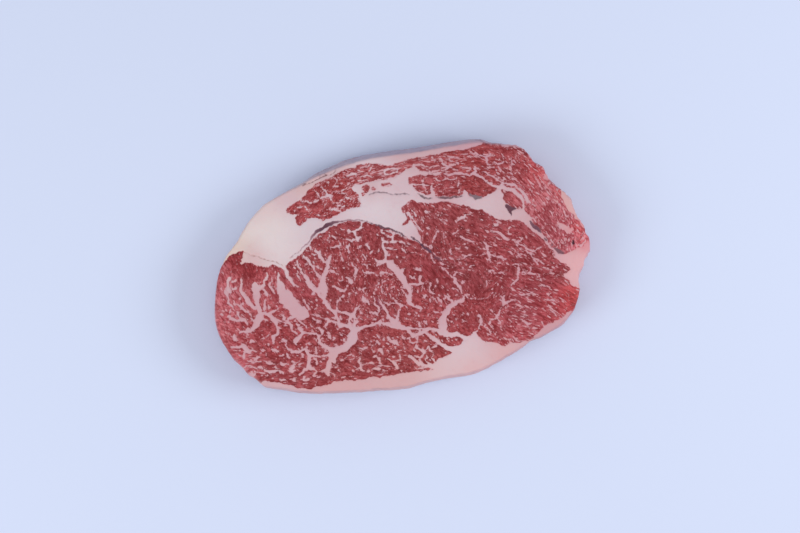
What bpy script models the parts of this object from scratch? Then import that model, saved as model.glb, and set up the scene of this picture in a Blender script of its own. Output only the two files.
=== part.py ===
"""A raw, boneless rib-eye steak, lying flat on its lower cut face.

The steak is one slice of meat, so it is one solid. Its outline is drawn once, as seen from above.
The wall swells out below the upper cut face and tucks under to a flat foot, as soft meat does on a
table. The upper face rises over each muscle, dips along the fat seams and falls off to a soft edge.

+X runs along the steak, +Y towards its cap side and +Z up. The origin is on the table, under the
middle of the steak. All sizes are in metres.
"""

import math
from typing import NamedTuple

import bmesh
import bpy
from mathutils import Vector, noise

MM = 0.001

# Driving dimensions.
LENGTH = 188 * MM
WIDTH = 128 * MM
THICKNESS = 26 * MM

# The wall, from the table up.
WIDEST_SHARE = 0.36  # height of the wall's widest line, as a share of the wall's height
UNDERCUT = 3.0 * MM  # how far the foot stands in from the widest line
UNDERCUT_POWER = 2.2
FLARE_POWER = 1.7
WALL_RINGS_BELOW = 3
WALL_RINGS_ABOVE = 4
LUMP_DEPTH = 0.7 * MM  # bulges of the muscle bundles in the wall
LUMP_LENGTH = 11 * MM

# The upper cut face.
EDGE_ROUND = 1.2 * MM
EDGE_ROUND_STEPS = 2
EDGE_FALL = 1.3 * MM  # the face's drop towards its edge
EDGE_FALL_REACH = 13 * MM
FACE_RINGS = 9
RIPPLE = 0.25 * MM  # unevenness of the knife cut
RIPPLE_LENGTH = 14 * MM

CURVE_STEPS = 8  # points of the smooth curve for each drawn point of the outline
SAMPLES_ROUND = 176  # corners of each ring
NORMAL_SPAN = 4  # corners on each side that the outline's direction is averaged over
FOOT_RINGS = 3

# The faces gather towards this line along the middle, not towards one point.
SPINE = (Vector((-40 * MM, -9 * MM)), Vector((38 * MM, 4 * MM)))

# The outline from above, anticlockwise, in millimetres, as (x, y, flare). The flare is how far the
# upper edge stands in from the widest line there. The outline is fitted to LENGTH and WIDTH.
OUTLINE = (
    # Right end, from the fat notch up over the torn end of the cap muscle.
    (88.4, -3.5, 0.5), (90.8, 0.8, 0.5), (91.4, 4.4, 0.5), (93.4, 8.0, 0.5), (93.2, 12.8, 0.5),
    (91.2, 17.5, 0.5), (90.7, 21.2, 0.5), (86.1, 28.6, 0.5), (84.3, 33.8, 0.5), (74.6, 41.8, 0.5),
    (71.4, 45.4, 0.5), (70.2, 48.9, 0.5), (65.5, 52.0, 0.5), (63.5, 56.2, 0.5), (58.0, 60.2, 0.8),
    # Far side, the cap muscle under its silverskin.
    (44.0, 62.4, 1.4), (35.5, 64.1, 2.4), (10.0, 60.3, 2.9), (-22.0, 55.3, 3.0), (-42.0, 47.4, 2.6),
    # Left shoulder, solid fat.
    (-50.0, 42.0, 1.4), (-64.0, 33.9, 0.7), (-71.0, 28.3, 0.6), (-77.2, 20.7, 0.6),
    (-81.2, 13.8, 0.6), (-88.3, 5.0, 0.8),
    # Left end, muscle under a thin skin.
    (-92.5, -6.0, 1.3), (-93.7, -21.0, 1.4), (-91.2, -34.5, 1.2), (-86.2, -44.0, 1.2),
    (-78.3, -51.2, 0.8), (-75.4, -54.6, 0.8), (-70.8, -57.4, 1.0),
    # Near side, the fat strip.
    (-68.6, -60.4, 1.5), (-56.0, -62.5, 2.0), (-50.0, -63.7, 2.0), (-36.0, -63.9, 2.0),
    (0.0, -61.6, 2.0), (12.0, -58.5, 2.0), (24.0, -56.0, 2.0), (39.0, -53.0, 2.0),
    # Right end again, the chain side.
    (60.0, -41.0, 1.5), (64.2, -37.5, 1.5), (70.5, -35.2, 1.6), (83.0, -27.0, 1.6),
    (88.3, -16.0, 0.8),
)

class Swell(NamedTuple):
    """A rise or dip of the upper face, fading out with distance. All but the name in millimetres."""

    name: str
    x: float
    y: float
    reach: float
    rise: float


SWELLS = (
    Swell("eye_near_cap", 30, 12, 24, 1.2),
    Swell("eye_left_lobe", -24, -4, 20, 1.3),
    Swell("eye_right_end", 66, -14, 18, 0.9),
    Swell("cap_left", -36, 36, 12, 0.7),
    Swell("cap_right", 66, 36, 16, 0.8),
    Swell("cap_middle", 22, 50, 14, 0.6),
    Swell("shoulder_lobe", -70, -12, 16, 0.6),
    Swell("shoulder_foot", -62, -42, 17, 1.0),
    Swell("lower_lobe", -10, -43, 15, 1.0),
    Swell("kernel_fat", -66, 20, 16, -0.9),
    Swell("seam_fat", -8, 27, 12, -1.1),
    Swell("seam_fat_right", 46, 30, 9, -0.8),
    Swell("chain_fat", 34, -44, 12, -0.9),
)


def clear_scene() -> None:
    """Removes whatever the scene holds at the start."""
    for thing in list(bpy.data.objects):
        bpy.data.objects.remove(thing, do_unlink=True)


def between(before: Vector, start: Vector, end: Vector, after: Vector, share: float) -> Vector:
    """A point of the Catmull-Rom curve from start to end, at a share of the way."""
    square = share * share
    cube = square * share
    return 0.5 * (
        2 * start
        + (end - before) * share
        + (2 * before - 5 * start + 4 * end - after) * square
        + (3 * start - before - 3 * end + after) * cube
    )


def evenly_spaced(curve: list[Vector], count: int) -> list[Vector]:
    """The closed curve resampled to count points the same distance apart in plan."""
    closed = curve + curve[:1]
    reached = [0.0]
    for start, end in zip(closed, closed[1:]):
        reached.append(reached[-1] + (end.xy - start.xy).length)
    points, leg = [], 0
    for step in range(count):
        target = reached[-1] * step / count
        while reached[leg + 1] < target:
            leg += 1
        share = (target - reached[leg]) / (reached[leg + 1] - reached[leg])
        points.append(closed[leg].lerp(closed[leg + 1], share))
    return points


def drawn_outline() -> list[Vector]:
    """The outline as evenly spaced points (x, y, flare), fitted to LENGTH and WIDTH about the origin."""
    drawn = [Vector(point) for point in OUTLINE]
    curve = []
    for i in range(len(drawn)):
        neighbours = (drawn[i - 2], drawn[i - 1], drawn[i], drawn[(i + 1) % len(drawn)])
        curve += [between(*neighbours, step / CURVE_STEPS) for step in range(CURVE_STEPS)]
    low = Vector([min(point[axis] for point in curve) for axis in (0, 1)])
    high = Vector([max(point[axis] for point in curve) for axis in (0, 1)])
    middle = (low + high) / 2
    scale_x = LENGTH / (high.x - low.x)
    scale_y = WIDTH / (high.y - low.y)
    fitted = [
        Vector(((point.x - middle.x) * scale_x, (point.y - middle.y) * scale_y, point.z * MM))
        for point in curve
    ]
    return evenly_spaced(fitted, SAMPLES_ROUND)


def inward_normals(outline: list[Vector]) -> list[Vector]:
    """For each outline point, the level direction towards the inside of the steak."""
    count = len(outline)
    normals = []
    for i in range(count):
        along = outline[(i + NORMAL_SPAN) % count].xy - outline[i - NORMAL_SPAN].xy
        normals.append(Vector((-along.y, along.x)).normalized())
    return normals


def nearest_on_spine(point: Vector) -> Vector:
    """The point of the spine line nearest to a point in plan."""
    start, end = SPINE
    share = (point - start).dot(end - start) / (end - start).length_squared
    return start.lerp(end, min(1.0, max(0.0, share)))


def face_height(point: Vector, from_edge: float) -> float:
    """Height of the upper cut face at a point in plan that is from_edge inside its edge."""
    height = THICKNESS - max(swell.rise for swell in SWELLS) * MM
    for swell in SWELLS:
        away = (point - Vector((swell.x, swell.y)) * MM).length / (swell.reach * MM)
        height += swell.rise * MM * math.exp(-away * away)
    height += RIPPLE * noise.noise(Vector((point.x, point.y, 0.0)) / RIPPLE_LENGTH)
    fall = max(0.0, 1.0 - from_edge / EDGE_FALL_REACH)
    return height - EDGE_FALL * fall * fall


def wall_inset(share: float, flare: float) -> float:
    """How far the wall stands in from its widest line, at a share of its height."""
    if share < WIDEST_SHARE:
        return UNDERCUT * ((WIDEST_SHARE - share) / WIDEST_SHARE) ** UNDERCUT_POWER
    return flare * ((share - WIDEST_SHARE) / (1.0 - WIDEST_SHARE)) ** FLARE_POWER


def wall_lump(point: Vector, share: float) -> float:
    """How far the muscle bundles bulge (negative) or dip (positive), fading out at foot and edge."""
    fade = math.sin(math.pi * share)
    where = Vector((point.x, point.y, share * THICKNESS / 2)) / LUMP_LENGTH
    return LUMP_DEPTH * fade * (noise.noise(where) + 1.0) / 2


def steak_rings() -> list[list[Vector]]:
    """The steak's surface as closed rings, from the middle of the foot to the middle of the face."""
    outline = drawn_outline()
    normals = inward_normals(outline)
    edge = [
        point.xy + normal * (point.z + EDGE_ROUND) for point, normal in zip(outline, normals)
    ]
    edge_height = [face_height(point, 0.0) for point in edge]

    def wall_ring(share: float) -> list[Vector]:
        ring = []
        for point, normal, top in zip(outline, normals, edge_height):
            inset = wall_inset(share, point.z) + wall_lump(point, share)
            ring.append((point.xy + normal * inset).to_3d())
            ring[-1].z = (top - EDGE_ROUND) * share
        return ring

    def edge_ring(angle: float) -> list[Vector]:
        ring = []
        for point, normal, top in zip(outline, normals, edge_height):
            inset = point.z + EDGE_ROUND * (1 - math.cos(angle))
            ring.append((point.xy + normal * inset).to_3d())
            ring[-1].z = top - EDGE_ROUND * (1 - math.sin(angle))
        return ring

    def face_ring(share: float) -> list[Vector]:
        ring = []
        for point in edge:
            middle = nearest_on_spine(point)
            place = middle.lerp(point, share)
            height = face_height(place, (point - place).length)
            ring.append(Vector((place.x, place.y, height)))
        return ring

    foot = wall_ring(0.0)
    rings = []
    for step in range(1, FOOT_RINGS + 1):
        share = step / FOOT_RINGS
        rings.append([nearest_on_spine(point.xy).to_3d().lerp(point, share) for point in foot])
    for step in range(1, WALL_RINGS_BELOW + 1):
        rings.append(wall_ring(WIDEST_SHARE * step / WALL_RINGS_BELOW))
    for step in range(1, WALL_RINGS_ABOVE + 1):
        rings.append(wall_ring(WIDEST_SHARE + (1 - WIDEST_SHARE) * step / WALL_RINGS_ABOVE))
    for step in range(1, EDGE_ROUND_STEPS + 1):
        rings.append(edge_ring(math.pi / 2 * step / EDGE_ROUND_STEPS))
    for step in range(1, FACE_RINGS):
        rings.append(face_ring(1 - step / FACE_RINGS))
    return rings


def rise_through(rings: list[list[Vector]]) -> bmesh.types.BMesh:
    """A closed mesh: the first ring filled, then extruded from ring to ring up to the last."""
    bm = bmesh.new()
    foot = bm.faces.new([bm.verts.new(point) for point in rings[0]])
    cap = foot
    for ring in rings[1:]:
        grown = bmesh.ops.extrude_face_region(bm, geom=[cap])
        if cap is not foot:
            bmesh.ops.delete(bm, geom=[cap], context="FACES_ONLY")
        cap = next(item for item in grown["geom"] if isinstance(item, bmesh.types.BMFace))
        for corner, point in zip(cap.verts, ring):
            corner.co = point
    bmesh.ops.triangulate(bm, faces=bm.faces[:])
    bmesh.ops.recalc_face_normals(bm, faces=bm.faces[:])
    return bm


def meat_material() -> bpy.types.Material:
    """Raw marbled beef: moist, dark red."""
    material = bpy.data.materials.new("raw_marbled_beef")
    material.use_nodes = True
    shader = material.node_tree.nodes["Principled BSDF"]
    shader.inputs["Base Color"].default_value = (0.35, 0.085, 0.09, 1.0)
    shader.inputs["Roughness"].default_value = 0.42
    shader.inputs["Metallic"].default_value = 0.0
    return material


def build_steak() -> bpy.types.Object:
    """The steak as one object."""
    mesh = bpy.data.meshes.new("steak")
    bm = rise_through(steak_rings())
    bm.to_mesh(mesh)
    bm.free()
    mesh.shade_smooth()
    mesh.materials.append(meat_material())
    steak = bpy.data.objects.new("steak", mesh)
    bpy.context.scene.collection.objects.link(steak)
    return steak


def main() -> None:
    """Builds the part."""
    clear_scene()
    build_steak()


main()
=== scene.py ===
"""The looks of a raw, marbled rib-eye steak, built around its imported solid.

The steak is one slice of several muscles. Each muscle is lean meat, red and finely streaked along its
own fibres, and everything between the muscles is fat. TissueMap says what tissue lies where on the cut
face: it holds the drawn lean areas, the veins of fat in them, the dark sinew lines and the tones.
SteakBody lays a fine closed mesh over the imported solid, asks the map what each corner is made of, and
raises or sinks it accordingly. FibreRelief then raises the fibres' ridges and the fat's pebbles with
Geometry Nodes. BeefFinish turns what the mesh stores into colour and sheen.

Tissue is drawn in millimetres, seen from above, with +X along the steak and +Y towards its cap side.
"""
import logging
import math
from dataclasses import dataclass, field
from enum import Enum

import bmesh
import bpy
import numpy as np
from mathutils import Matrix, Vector, geometry, noise
from mathutils.bvhtree import BVHTree


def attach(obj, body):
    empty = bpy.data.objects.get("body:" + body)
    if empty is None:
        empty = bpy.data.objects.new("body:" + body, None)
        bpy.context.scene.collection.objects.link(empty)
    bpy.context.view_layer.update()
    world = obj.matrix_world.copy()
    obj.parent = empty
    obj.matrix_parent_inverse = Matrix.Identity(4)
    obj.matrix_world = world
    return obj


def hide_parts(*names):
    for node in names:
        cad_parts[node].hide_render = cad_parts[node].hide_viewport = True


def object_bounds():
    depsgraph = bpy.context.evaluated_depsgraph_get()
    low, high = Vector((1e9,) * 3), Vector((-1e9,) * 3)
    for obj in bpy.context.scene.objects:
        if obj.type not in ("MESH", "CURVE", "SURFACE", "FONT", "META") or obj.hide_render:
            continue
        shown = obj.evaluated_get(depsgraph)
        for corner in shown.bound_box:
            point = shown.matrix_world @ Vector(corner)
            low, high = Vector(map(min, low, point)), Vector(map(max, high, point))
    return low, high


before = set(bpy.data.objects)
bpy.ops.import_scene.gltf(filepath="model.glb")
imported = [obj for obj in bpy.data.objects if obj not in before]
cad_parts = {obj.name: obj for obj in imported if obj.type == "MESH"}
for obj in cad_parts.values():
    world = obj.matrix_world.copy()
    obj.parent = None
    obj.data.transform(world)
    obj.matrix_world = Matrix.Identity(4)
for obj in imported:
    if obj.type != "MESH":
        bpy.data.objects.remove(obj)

CAD_BOX = [list(corner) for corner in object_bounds()]
LOG = logging.getLogger("steak")
MM = 0.001
NODE = "steak"
BODY = "root"
MIRRORED = 0.014  # part of each drawn tone that is light mirrored by the wet surface


class Layer(Enum):
    """What the mesh stores for the finish and the relief to read, by its name on the mesh."""

    FAT = "fat"  # depth in fat in millimetres, below zero in lean
    SINEW = "sinew"  # depth in dark sinew
    FLECKS = "flecks"
    LOBES = "lobes"
    SKIN = "skin"
    LEAN_TONE = "lean_tone"
    FAT_TONE = "fat_tone"
    SINEW_TONE = "sinew_tone"
    SKIN_TONE = "skin_tone"
    GRAIN = "grain"  # place along and across the fibres


def srgb(red: int, green: int, blue: int) -> tuple[float, float, float]:
    """A display colour of 0 to 255 as the linear colour that shaders use."""
    scaled = [value / 255 for value in (red, green, blue)]
    return tuple(c / 12.92 if c <= 0.04045 else ((c + 0.055) / 1.055) ** 2.4 for c in scaled)


# ---------------------------------------------------------------------------------------------
# The tissue map: what lies where on the cut face
# ---------------------------------------------------------------------------------------------

Place = tuple[float, float]
Stroke = tuple[tuple[float, float, float], ...]  # (x, y, width) at each drawn point

# Lean areas as closed outlines. What lies outside all of them is fat.
LEAN: dict[str, tuple[Place, ...]] = {
    "eye and its neighbours": (
        # Left end and the corner under the kernel of fat.
        (-97, -14), (-95, -3), (-90, 1.8), (-86, 4.4), (-82, 6.4), (-79.6, 7.2), (-79.6, 4), (-80, 0.9),
        (-77, 2), (-73, 0.8), (-67, -0.3), (-64.5, 0.6), (-61, -0.6), (-58.5, -1.6), (-57, 0.4),
        # Under the dark membrane.
        (-55.2, 2.6), (-52.4, 4.8), (-50, 6.4), (-48, 8.4), (-46.4, 10.6), (-45.2, 12.6), (-42.6, 15.2),
        (-40, 16.6), (-37.6, 17.8), (-35.8, 19.6), (-33, 20.8), (-30, 21.6), (-25, 22.6), (-19, 22.2),
        (-13.7, 20.8), (-8.6, 19), (-3.6, 17.4), (0.8, 15.6), (4, 14),
        (7.4, 12), (9.4, 10.6),
        # Up over the near-cap lobe and back down its right end.
        (9.9, 12.8), (8.8, 16), (7.5, 19.5), (6, 22), (3.5, 24.5), (0.8, 26.3), (0.2, 28.5), (1.2, 30.5),
        (3.5, 31.9), (6, 32.7), (9.5, 31.4), (12, 31.6), (16, 31.5), (20, 32.4), (26, 31.8), (27.3, 30.6),
        (31, 30.4), (36, 29), (40, 28), (44, 26.2), (47, 24.5), (50, 23.6), (55, 23.3), (59, 23),
        (62, 21), (64.5, 18.6), (68, 16.2), (71, 13.3), (74, 9.5), (77, 5.6), (78.6, 2.4), (80.8, 1.6),
        (82.8, 0.6), (84.8, -1.2), (83.6, -2.6), (81.6, -3.4), (82.2, -5.4), (84.4, -7.8), (85.9, -9.8),
        (88.6, -10.7), (92, -14), (90, -20),
        # Chain side and the fat corner.
        (85.5, -21.5), (82, -24), (79.5, -26.5), (76, -28), (72, -29.5), (70.5, -31.5), (68, -34.5),
        (65, -36.2), (60, -37.5), (56, -38), (53.5, -39), (51, -40.3), (48.5, -39.3), (46, -38),
        (42, -37.2), (40, -35.9), (38, -35), (37, -32.5), (35.6, -33), (34.4, -35), (32.5, -34.9),
        (30, -34), (28, -33), (25.5, -33.3), (22.3, -31.6), (17, -30.9), (12, -31.8), (11.4, -33.4),
        (14.5, -36), (17.3, -39.2), (19.5, -40.3), (22, -42), (24.8, -43.5), (22, -45), (19, -46.5),
        (17.3, -48.4), (13, -49), (13, -50.5), (16.4, -51.5),
        # Along the near-side strip of fat.
        (10, -52.3), (5, -52.7), (0, -53.7), (-5, -54.6), (-10, -55.2), (-15, -56), (-20, -57),
        (-28, -57.8), (-32, -58.3), (-36, -59.3), (-42, -60.3), (-47, -61), (-55, -60.2), (-60, -58.9),
        (-65, -58), (-70, -56.9), (-74, -55.5), (-79, -52.5), (-86, -48), (-91, -44), (-96, -34),
    ),
    "cap": (
        (-58.3, 28), (-56.5, 29.7), (-53, 31.7), (-50, 34), (-47, 37.5), (-44, 40), (-41, 42.2),
        (-38, 43.6), (-35, 44.8), (-30, 47.5), (-27, 49), (-24, 49.8), (-20, 51), (-15, 52),
        (-12, 51.7), (-9, 50.3), (-5, 51), (0, 53), (5, 54), (10, 54.6), (15, 55.2), (20, 56),
        (25, 57.7), (32, 59.3), (38, 60.5), (45, 60.9), (52, 60.6), (58, 59.6), (63, 56.5),
        (65.5, 52.5), (69.5, 49.5), (72, 46.5), (71.5, 44.5), (74.5, 41.8), (78.5, 39.2), (80.8, 37),
        (80.6, 34.4), (82.5, 31), (83.6, 28), (86, 25.6), (88.8, 23.6), (90.6, 20), (92, 17.5),
        (93, 14), (91.6, 11.8), (90, 9.8), (87.6, 8.4), (84.5, 7.2), (80.5, 6.6), (78.5, 7.6),
        (76, 8.6), (73.5, 12), (71, 16), (68, 19.5),
        (65.8, 22.5), (64, 25.8), (61.5, 28.3), (61.8, 31), (60.5, 35), (57, 38.2), (53, 39.9),
        # The lobes above the white band.
        (50, 40.4), (48.6, 39), (46.4, 38), (44.4, 36.6), (42, 35), (38.5, 34.1), (35, 34.8),
        (33, 36.6), (31.2, 38.2), (30.8, 36), (29, 35.4), (25, 34.9), (20, 34.9), (17, 35.6),
        (15.8, 37.5), (15.2, 40), (14.6, 36.6), (12.5, 35.9), (10.4, 36.5), (8, 37.3), (6.2, 38.8),
        (5.4, 40.4), (3.7, 41.2), (3.2, 43), (5, 44.6), (8.3, 45.8), (9.3, 48), (6, 49.4), (2, 48),
        (-2, 45.6), (-6, 43.9), (-11, 43.3), (-16, 42.3), (-20, 41.2), (-23.6, 40.8), (-24.8, 38),
        (-22.5, 36), (-21, 33), (-20, 30.2), (-23, 29.2), (-27, 28.6), (-30.5, 26.7), (-34, 24.7),
        (-38, 23.2), (-42, 24), (-46, 23.8), (-48.5, 22), (-50.8, 20.4), (-53, 21.6), (-53, 24),
        (-51, 25.4), (-54.5, 26), (-57, 27),
    ),
    "wedge beside the cap": (
        (49.8, 38.4), (52, 38.9), (55, 37), (58.5, 34), (60.3, 31), (60.4, 29), (57, 28.6),
        (54, 30.5), (52, 32), (50.6, 35),
    ),
    "fish": (
        (13, -33), (16, -32.1), (19, -33.5), (21.5, -35.4), (25, -35.3), (28.5, -35.4), (31, -37.4),
        (30, -38.4), (28, -39.4), (25, -39.8), (22, -38.8), (19, -37.7), (17, -35.6),
    ),
    "finger": ((0.6, 20.9), (3, 23.2), (4.9, 24.8), (4.4, 22.6), (2.4, 20.8)),
    "island one": ((-19.6, 39), (-17.5, 40.6), (-15.5, 39.4), (-16.6, 37.3), (-18.8, 37.2)),
    "island two": ((-14.8, 38.9), (-13.4, 39.6), (-12.4, 38.8), (-13.4, 37.8)),
    "island three": ((-20.4, 36.6), (-18.8, 36.9), (-18, 36), (-19.4, 35.2)),
    "island four": ((-10, 41.4), (-6.6, 42.2), (-4.6, 41.2), (-8, 40.4)),
}

# Pools of fat inside the lean areas, as closed outlines.
POOLS: dict[str, tuple[Place, ...]] = {
    "teardrop": (
        (-62, -5), (-60.2, -7), (-58.8, -8.6), (-57, -11.6), (-54.6, -13.4), (-53.2, -15.4), (-51.6, -17.6),
        (-50, -19.6), (-47.8, -21), (-45.4, -23.6), (-48, -26.5), (-52, -26), (-55.5, -24),
        (-57, -21.5), (-60, -19),
        (-61.5, -15), (-62.2, -10),
    ),
    "wedge at the cap's end": (
        (78.8, 21.6), (81.2, 21.6), (83.2, 20.2), (85.8, 19.6), (86.6, 17.6), (84.8, 16.5), (82.7, 16.9),
        (81.4, 18.5), (79.6, 19.8),
    ),
    "wedge by the long vein": (
        (-19.9, -15), (-18.2, -15.9), (-16.5, -16.6), (-15.9, -17.9), (-15.5, -19.2), (-16, -19.7),
        (-16.9, -18.5), (-18.3, -18), (-19.7, -18.1),
    ),
}

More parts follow.
